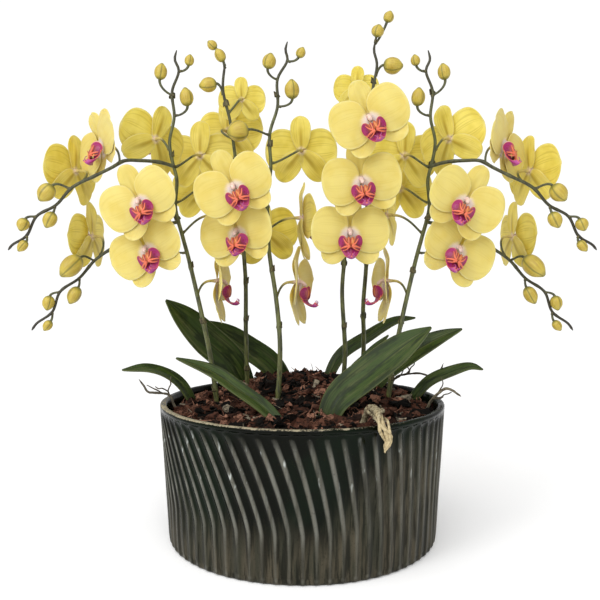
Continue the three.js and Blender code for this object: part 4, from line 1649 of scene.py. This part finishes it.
@dataclass
class Pot:
    """The ribbed, glazed bowl, in metres, with the swirl of its ribs in degrees."""

    wall: float = 7 * MM
    floor: float = 9 * MM
    band: float = 9 * MM
    rim_round: float = 2.5 * MM
    foot_round: float = 5 * MM
    foot_inset: float = 8 * MM
    ribs: int = 72
    facets: int = 8
    rib_depth: float = 2.2 * MM
    straight: float = 45 * MM
    swirl: float = 16.0
    height: float = field(init=False)
    rim: float = field(init=False)

    def __post_init__(self) -> None:
        """Takes the rim's height and radius from the CAD pot."""
        low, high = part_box("pot")
        self.height = high[2]
        self.rim = max(high[0], high[1], -low[0], -low[1])

    def radius(self, height: float) -> float:
        """The outside radius at a height."""
        return self.rim - self.foot_inset * (1 - height / self.height)

    def turn(self, azimuth: float, height: float) -> float:
        """How far round the ribs have leant at a height, in radians.

        Args:
            azimuth: the rib's direction at the foot.
            height: in metres.

        Returns:
            The angle.
        """
        top = self.height - self.band
        rise = clamp((height - self.straight) / (top - self.straight))
        strength = (0.5 + 0.5 * math.cos(azimuth + math.radians(50))) ** 2.5
        return -math.radians(self.swirl) * strength * rise ** 1.3

    def around(self, beyond: float, degrees: float, above: float) -> Vector:
        """A point by millimetres past the rim, degrees round from the front and millimetres above the rim."""
        angle, radius = math.radians(degrees), self.rim + beyond * MM
        return Vector((radius * math.sin(angle), -radius * math.cos(angle), self.height + above * MM))

    def levels(self) -> list[tuple[float, float, float]]:
        """The pot's section from the underside up, over the rim and down inside.

        Returns:
            Rows of height, radius and how strong the ribs are.
        """
        rows = []
        for step in range(5):
            angle = math.pi / 2 * step / 4
            height = self.foot_round * (1 - math.cos(angle))
            rows.append((height, self.radius(0) - self.foot_round * (1 - math.sin(angle)), 0.1 + 0.2 * step))
        top = self.height - self.band
        for step in range(1, 47):
            height = self.foot_round + (top + 5 * MM - self.foot_round) * step / 46
            strength = smoothstep(0, 7 * MM, top + 5 * MM - height)
            low = 0.72 + 0.28 * smoothstep(20 * MM, 60 * MM, height)
            rows.append((height, self.radius(height), strength * low))
        edge = self.height - self.rim_round
        rows += [(edge - 1.5 * MM, self.radius(edge), 0.0), (edge, self.radius(edge), 0.0)]
        for step in range(1, 5):
            angle = math.pi / 2 * step / 4
            rows.append((edge + self.rim_round * math.sin(angle),
                         self.rim - self.rim_round * (1 - math.cos(angle)), 0.0))
        inner = self.rim - self.wall
        rows += [(self.height - 0.4 * MM, inner + 1.2 * MM, 0.0), (self.height - 1.6 * MM, inner, 0.0),
                 (self.height - 12 * MM, inner - 0.6 * MM, 0.0), (self.height - 30 * MM, inner - 2 * MM, 0.0),
                 (self.floor, self.radius(self.floor) - self.wall, 0.0)]
        return rows

    def build(self) -> bpy.types.Object:
        """Draws the pot by extruding a circle up the outside, over the rim and down the inside.

        Returns:
            The pot.
        """
        bm = bmesh.new()
        grow, _ = layers(bm)
        azimuths = bm.verts.layers.float.new("azimuth")
        count = self.ribs * self.facets
        ring = bmesh.ops.create_circle(bm, cap_ends=True, radius=1.0, segments=count)["verts"]
        for vert in ring:
            vert[azimuths] = math.atan2(vert.co.x, -vert.co.y)
        edges = list(bm.edges)
        levels = self.levels()
        self.shape_ring(ring, azimuths, grow, levels[0], False)
        highest = max(range(len(levels)), key=lambda index: levels[index][0])
        for index, level in enumerate(levels[1:], 1):
            out = bmesh.ops.extrude_edge_only(bm, edges=edges)["geom"]
            ring = [item for item in out if isinstance(item, bmesh.types.BMVert)]
            members = set(ring)
            edges = [item for item in out if isinstance(item, bmesh.types.BMEdge)
                     and item.verts[0] in members and item.verts[1] in members]
            self.shape_ring(ring, azimuths, grow, level, index > highest)
        bmesh.ops.contextual_create(bm, geom=edges)
        bmesh.ops.recalc_face_normals(bm, faces=bm.faces)
        return finish_piece(bm, "pot_shell", [GlazeFinish().make()], ["pot"])

    def shape_ring(self, ring: Sequence[bmesh.types.BMVert], azimuths: object, grow: object,
                   level: tuple[float, float, float], inside: bool) -> None:
        """Moves one ring of the pot to its place.

        Args:
            ring: its vertices.
            azimuths, grow: the layers that hold each vertex's direction and its attribute.
            level: height, radius and rib strength.
            inside: whether the ring is on the inner wall.
        """
        height, radius, strength = level
        for vert in ring:
            azimuth = vert[azimuths]
            crest = (0.5 + 0.5 * math.cos(azimuth * self.ribs)) ** 1.7
            angle = azimuth + self.turn(azimuth, height)
            flat = Vector((math.sin(angle), -math.cos(angle), 0))
            near_rim = smoothstep(self.height - 6 * MM, self.height, height)
            chip = smoothstep(0.25, 0.7, wobble(flat * 0.145, 0.011, 3.0)) * near_rim
            outside = 0 if inside else 1
            uneven = 0.35 * MM * wobble(flat * 0.14 + Vector((0, 0, height)), 0.05, 9.0)
            reach = radius - self.rib_depth * strength * (1 - crest) - 0.7 * MM * chip * outside
            reach += uneven * outside - 0.35 * MM
            rise = height + 0.3 * MM * wobble(flat * 0.145, 0.02, 5.0) * near_rim - 0.5 * MM * near_rim * chip
            vert.co = (flat.x * reach, flat.y * reach, rise)
            front = 0.5 + 0.5 * math.cos(azimuth + math.radians(28))
            worn = smoothstep(self.height - 2.2 * MM, self.height - 0.6 * MM, height)
            worn *= 0.2 + 0.5 * front ** 2 + 0.35 * chip
            if inside and height < self.height - 1 * MM:
                worn *= 0.4
            vert[grow] = (crest * strength, height / self.height, worn)


@dataclass
class Foliage:
    """The leaves and the aerial roots, which grow from the bark."""

    pot: Pot
    thickness: float = 2.0 * MM
    root_radius: float = 2.2 * MM

    def build(self) -> None:
        """Draws every leaf and every root."""
        leaf_finish, root_finish = LeafFinish().make(), RootFinish().make()
        for index, leaf in enumerate(LEAVES, 1):
            self.leaf(leaf, index, leaf_finish)
        for index, root in enumerate(ROOTS, 1):
            self.root(root, index, root_finish)

    def route(self, points: Sequence[Point], over_rim: bool) -> Route:
        """The route of a leaf or a root in the part's frame.

        Args:
            points: its listed points.
            over_rim: whether they are listed from the rim.

        Returns:
            The route.
        """
        if over_rim:
            return Route([self.pot.around(*point) for point in points])
        return Route([Vector(point) * MM + Vector((0, 0, self.pot.height)) for point in points])

    def leaf(self, leaf: Leaf, number: int, finish: bpy.types.Material) -> None:
        """Draws one leaf as a channelled, slightly waved sheet.

        Args:
            leaf: its route and width.
            number: which CAD leaf it stands for.
            finish: its material.
        """
        route, face = self.route(leaf.route, leaf.over_rim), Vector(leaf.face).normalized()
        bm = bmesh.new()
        frames = [route.frame(step / 44, face) for step in range(45)]

        def shape(s: float, t: float) -> tuple[Vector, Vector]:
            """Where a grid point goes.

            Args:
                s, t: the grid point, from -1 to 1 each way.

            Returns:
                Its place and its grow attribute.
            """
            share = (s + 1) / 2
            foot = 0.42 + 0.58 * math.sin(min(share / 0.45, 1.0) * math.pi / 2)
            tip = math.cos(((share - 0.45) / 0.55) ** 1.8 * math.radians(88)) if share > 0.45 else 1.0
            half = leaf.width * MM / 2 * foot * tip
            edge = 0.22 * half
            wave = 0.5 * MM * math.sin(share * 14 + number * 2 + t) * abs(t) * tip
            rise = edge * abs(t) ** 1.3 + wave + self.thickness * 0.5
            rise -= 0.5 * MM * math.exp(-(t / 0.12) ** 2) * tip
            place = frames[round(share * 44)] @ Vector((t * half, rise, 0))
            return place, Vector((share, t, float(number)))

        sheet(bm, 44, 12, shape)
        bmesh.ops.recalc_face_normals(bm, faces=bm.faces)
        middle = frames[20]
        normal = sum((f.normal for f in bm.faces), Vector())
        if normal.dot(middle.to_3x3() @ Vector((0, 1, 0))) < 0:
            bmesh.ops.reverse_faces(bm, faces=bm.faces)
        piece = finish_piece(bm, f"leaf_{number}_blade", [finish], [f"leaf_{number}"])
        thicken(piece, self.thickness)

    def root(self, root: Root, number: int, finish: bpy.types.Material) -> None:
        """Draws one root, knobbly and tapered, with side strands where it is knotted.

        Args:
            root: its route and girth.
            number: which CAD root it stands for.
            finish: its material.
        """
        bm = bmesh.new()
        layers(bm)
        route = self.route(root.route, True)
        self.strand(bm, route, root.girth, root.creamy, number)
        if root.creamy > 0:
            self.knot(bm, route)
        else:
            self.wires(bm, route, number)
        finish_piece(bm, f"aerial_root_{number}_skin", [finish], [f"aerial_root_{number}"])

    def strand(self, bm: bmesh.types.BMesh, route: Route, girth: float, creamy: float, seed: float) -> None:
        """Draws one knobbly strand.

        Args:
            bm: the mesh to add to.
            route: its middle line.
            girth: its thickness against a plain root's.
            creamy: how creamy its last third is, or how dried it is where below 0.
            seed: sets its knobbles.
        """

        def radius(share: float) -> float:
            """The strand's radius, which thins towards a closed tip."""
            thinned = (1 - 0.35 * share ** 3) * (1 - 0.75 * smoothstep(0.95, 1.0, share))
            return self.root_radius * girth * thinned

        made = sweep(bm, route, 56, 10, radius,
                     lambda share: creamy * (smoothstep(0.5, 0.8, share) if creamy > 0 else 1.0))
        for vert in made:
            knobble = Vector([wobble(vert.co, 0.006, seed + 4 * axis) for axis in range(3)]) * 0.8
            knobble += Vector([wobble(vert.co, 0.0028, seed + 4 * axis) for axis in range(3)]) * 0.45
            vert.co += knobble * MM * girth

    def knot(self, bm: bmesh.types.BMesh, route: Route) -> None:
        """Winds three thinner strands round a root's last two thirds.

        Args:
            bm: the mesh to add to.
            route: the root's middle line.
        """
        strands = ((11.0, 5.2, 0.62, 0.85), (17.0, 4.0, -0.8, 0.75), (23.0, 5.6, 0.45, 0.6))
        for seed, radius, turn, girth in strands:
            points = []
            for step in range(14):
                share = 0.3 + 0.68 * step / 13
                angle = seed + step * turn
                out = radius * MM * (0.35 + 0.65 * max(0.0, math.sin(math.pi * step / 13)) ** 0.6)
                around = Vector((math.cos(angle) * out, math.sin(angle) * out, 0))
                points.append(route.frame(share, clear_face(route)) @ around)
            self.strand(bm, Route(points), girth, 0.9, seed)

    def wires(self, bm: bmesh.types.BMesh, route: Route, number: int) -> None:
        """Adds three thin dry rootlets that part from a dried root.

        Args:
            bm: the mesh to add to.
            route: the root's middle line.
            number: the root's number, which sets how they grow.
        """
        chance = random.Random(500 + number)
        for seed in range(3):
            begin = chance.uniform(0.25, 0.7)
            points = [route.at(begin)]
            way = route.heading(begin)
            for _ in range(5):
                stray = Vector([chance.uniform(-most, most) for most in (0.6, 0.5, 0.5)])
                way = (way + stray).normalized()
                points.append(points[-1] + way * 4.2 * MM)
            self.strand(bm, Route(points), 0.34, -1.0, seed * 7.0 + number)


@dataclass
class Bark:
    """Chips strewn over the bark, following the CAD filling's surface."""

    pot: Pot
    chips: int = 1600
    splinters: int = 160
    handfuls: int = 40

    def build(self) -> None:
        """Dresses the CAD filling and strews the chips over it."""
        bed = frame["nodes"]["potting_bark"]
        bed.data.materials.clear()
        bed.data.materials.append(BarkFinish(bed=True).make())
        source = bmesh.new()
        source.from_mesh(bed.data)
        bmesh.ops.remove_doubles(source, verts=source.verts, dist=1e-6)
        surface = BVHTree.FromBMesh(source)
        source.free()
        chance = random.Random(71)
        strewn = bmesh.new()
        layers(strewn)
        for _ in range(self.handfuls):
            few = bmesh.new()
            layers(few)
            for _ in range(self.chips // self.handfuls):
                size = chance.choice((5, 7, 8, 10, 13)) * chance.uniform(0.8, 1.25) * MM
                self.chip(few, surface, chance, size)
            for _ in range(self.splinters // self.handfuls):
                self.splinter(few, surface, chance)
            handful = bpy.data.meshes.new("handful")
            few.to_mesh(handful)
            few.free()
            strewn.from_mesh(handful)
            bpy.data.meshes.remove(handful)
        finish_piece(strewn, "bark_chips", [BarkFinish().make()], smooth=False)

    def spot(self, surface: BVHTree, chance: random.Random, margin: float) -> Vector:
        """A random place on the bark, clear of the pot's wall.

        Args:
            surface: the bark's surface.
            chance: the source of the place.
            margin: how far it stays from the wall.

        Returns:
            The place.
        """
        reach = self.pot.rim - self.pot.wall - 1.5 * MM - margin
        radius, angle = reach * math.sqrt(chance.random()), chance.uniform(0, 2 * math.pi)
        start = Vector((radius * math.cos(angle), radius * math.sin(angle), self.pot.height + 0.1))
        found = surface.ray_cast(start, Vector((0, 0, -1)))[0]
        if found and found.z > self.pot.height - 20 * MM:
            return found
        return Vector((start.x, start.y, self.pot.height - 11 * MM))

    def chip(self, bm: bmesh.types.BMesh, surface: BVHTree, chance: random.Random, size: float) -> None:
        """Adds one torn chip.

        Args:
            bm: the mesh to add to.
            surface: the bark's surface.
            chance: the source of its shape.
            size: its length.
        """
        place = self.spot(surface, chance, size * 0.45)
        _, tone = layers(bm)
        before = len(bm.verts)
        cube = bmesh.ops.create_cube(bm, size=1.0)["verts"]
        edges = list(dict.fromkeys(edge for vert in cube for edge in vert.link_edges))
        bmesh.ops.subdivide_edges(bm, edges=edges, cuts=1, use_grid_fill=True)
        bm.verts.ensure_lookup_table()
        verts = bm.verts[before:]
        long, wide, thick = size, size * chance.uniform(0.4, 0.75), size * chance.uniform(0.16, 0.34)
        shade = clamp(chance.gauss(0.52, 0.24), 0.02, 1.0)
        for vert in verts:
            taper = 1 - 0.5 * abs(vert.co.x) * chance.random()
            vert.co = Vector((vert.co.x * long, vert.co.y * wide * taper, vert.co.z * thick))
            vert.co += Vector([chance.uniform(-1, 1) for _ in range(3)]) * size * 0.085
            vert.co.z += 0.6 * vert.co.x ** 2 / size * chance.uniform(-1, 1)
            vert[tone] = shade
        tilt = Matrix.Rotation(chance.gauss(0, 0.42), 4, "X") @ Matrix.Rotation(chance.gauss(0, 0.32), 4, "Y")
        turn = Matrix.Rotation(chance.uniform(0, 2 * math.pi), 4, "Z")
        lift = Matrix.Translation(place + Vector((0, 0, thick * chance.uniform(-0.1, 0.9))))
        bmesh.ops.transform(bm, matrix=lift @ turn @ tilt, verts=verts)

    def splinter(self, bm: bmesh.types.BMesh, surface: BVHTree, chance: random.Random) -> None:
        """Adds one thin fibre or dead root end, half standing out of the chips.

        Args:
            bm: the mesh to add to.
            surface: the bark's surface.
            chance: the source of its shape.
        """
        length = chance.uniform(7, 20) * MM
        place = self.spot(surface, chance, length * 0.6)
        angle, pitch = chance.uniform(0, 2 * math.pi), chance.uniform(0.05, 0.75)
        way = Vector((math.cos(angle) * math.cos(pitch), math.sin(angle) * math.cos(pitch), math.sin(pitch)))
        bend = Vector((-way.y, way.x, 0)) * length * chance.uniform(-0.2, 0.2)
        route = Route([place, place + way * length / 2 + bend, place + way * length])
        shade = chance.uniform(0.75, 1.0)
        radius = chance.uniform(0.4, 1.0) * MM
        sweep(bm, route, 4, 5, lambda share: radius * (1 - 0.7 * share), lambda share: shade)


# ------------------------------------------------------------------ studio

@dataclass(frozen=True)
class Studio:
    """A pale seamless floor, soft lights and the camera."""

    camera_place: tuple[float, float, float] = (-0.0024, -0.80, 0.289)
    camera_pitch: float = 86.65
    lens: float = 46.98
    ambient: float = 0.62

    def build(self) -> None:
        """Makes the floor, the lights and the camera."""
        scene = bpy.context.scene
        scene.view_settings.view_transform = "Standard"
        self.floor()
        self.sky()
        self.sun((-0.35, -0.75, 1.0), 1.6, 75.0)
        self.area("left", (-1.0, -1.1, 1.0), (0, 0, 0.2), 0.5, 6.0)
        self.area("window", (0.22, -1.35, 1.05), (0.02, -0.14, 0.1), 0.22, 2.2)
        camera = bpy.data.cameras.new("camera")
        camera.lens, camera.sensor_width = self.lens, 36.0
        view = bpy.data.objects.new("camera", camera)
        view.location = self.camera_place
        view.rotation_euler = (math.radians(self.camera_pitch), 0, 0)
        scene.collection.objects.link(view)
        scene.camera = view

    def sky(self) -> None:
        """Makes the soft white surround, which is dimmer for the light that it casts than it looks."""
        world = bpy.data.worlds.new("studio")
        world.use_nodes = True
        tree = world.node_tree
        ground = tree.nodes["Background"]
        ground.inputs["Color"].default_value = (1.0, 1.0, 1.0, 1.0)
        rays = tree.nodes.new("ShaderNodeLightPath")
        strength = tree.nodes.new("ShaderNodeMapRange")
        strength.inputs["To Min"].default_value = self.ambient
        strength.inputs["To Max"].default_value = 1.05
        tree.links.new(rays.outputs["Is Camera Ray"], strength.inputs["Value"])
        tree.links.new(strength.outputs["Result"], ground.inputs["Strength"])
        bpy.context.scene.world = world

    def floor(self) -> None:
        """Makes the plain pale floor."""
        bm = bmesh.new()
        bmesh.ops.create_grid(bm, x_segments=4, y_segments=4, size=12.0)
        mesh = bpy.data.meshes.new("studio_floor")
        bm.to_mesh(mesh)
        bm.free()
        recipe = Recipe("studio_white", 0.9, Emission_Strength=0.12, Specular_IOR_Level=0.1)
        recipe.shader.inputs["Emission Color"].default_value = (1.0, 1.0, 1.0, 1.0)
        speck = recipe.noise(recipe.place(), 3.0, 1.0)
        mesh.materials.append(recipe.done(recipe.mix(speck, (0.93, 0.93, 0.93), (0.95, 0.95, 0.95))))
        floor = bpy.data.objects.new("studio_floor", mesh)
        bpy.context.scene.collection.objects.link(floor)

    @staticmethod
    def sun(toward: Point, strength: float, spread: float) -> None:
        """Adds a broad soft light from one side.

        Args:
            toward: the direction that it comes from.
            strength: how strong it is.
            spread: how many degrees wide it is.
        """
        light = bpy.data.lights.new("key", "SUN")
        light.energy, light.angle = strength, math.radians(spread)
        lamp = bpy.data.objects.new("key", light)
        lamp.rotation_euler = (-Vector(toward)).to_track_quat("-Z", "Y").to_euler()
        bpy.context.scene.collection.objects.link(lamp)

    @staticmethod
    def area(name: str, place: Point, target: Point, size: float, power: float) -> None:
        """Adds one square light that looks at a point.

        Args:
            name: the light's name.
            place: where it is.
            target: what it looks at.
            size: its side in metres.
            power: in watts.
        """
        light = bpy.data.lights.new(name, "AREA")
        light.energy, light.size = power, size
        lamp = bpy.data.objects.new(name, light)
        lamp.location = place
        lamp.rotation_euler = (Vector(target) - Vector(place)).to_track_quat("-Z", "Y").to_euler()
        bpy.context.scene.collection.objects.link(lamp)


# ------------------------------------------------------------------ the whole part

def main() -> None:
    """Builds the studio and every piece."""
    logging.basicConfig(level=logging.INFO, format="%(name)s: %(message)s")
    Studio().build()
    pot = Pot()
    pot.build()
    Bark(pot).build()
    Foliage(pot).build()
    flowers = Flowers()
    stem, bud, bract = StemFinish().make(), BudFinish().make(), BractFinish().make()
    for number, spike in enumerate([EDGE_SPIKE, *INNER_SPIKES, EDGE_SPIKE.mirrored()], 1):
        SpikeBuilder(spike, number, pot.height, flowers.bloom).build(stem, bud, bract)
    flowers.build()
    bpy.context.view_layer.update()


if __name__ == "__main__":
    main()
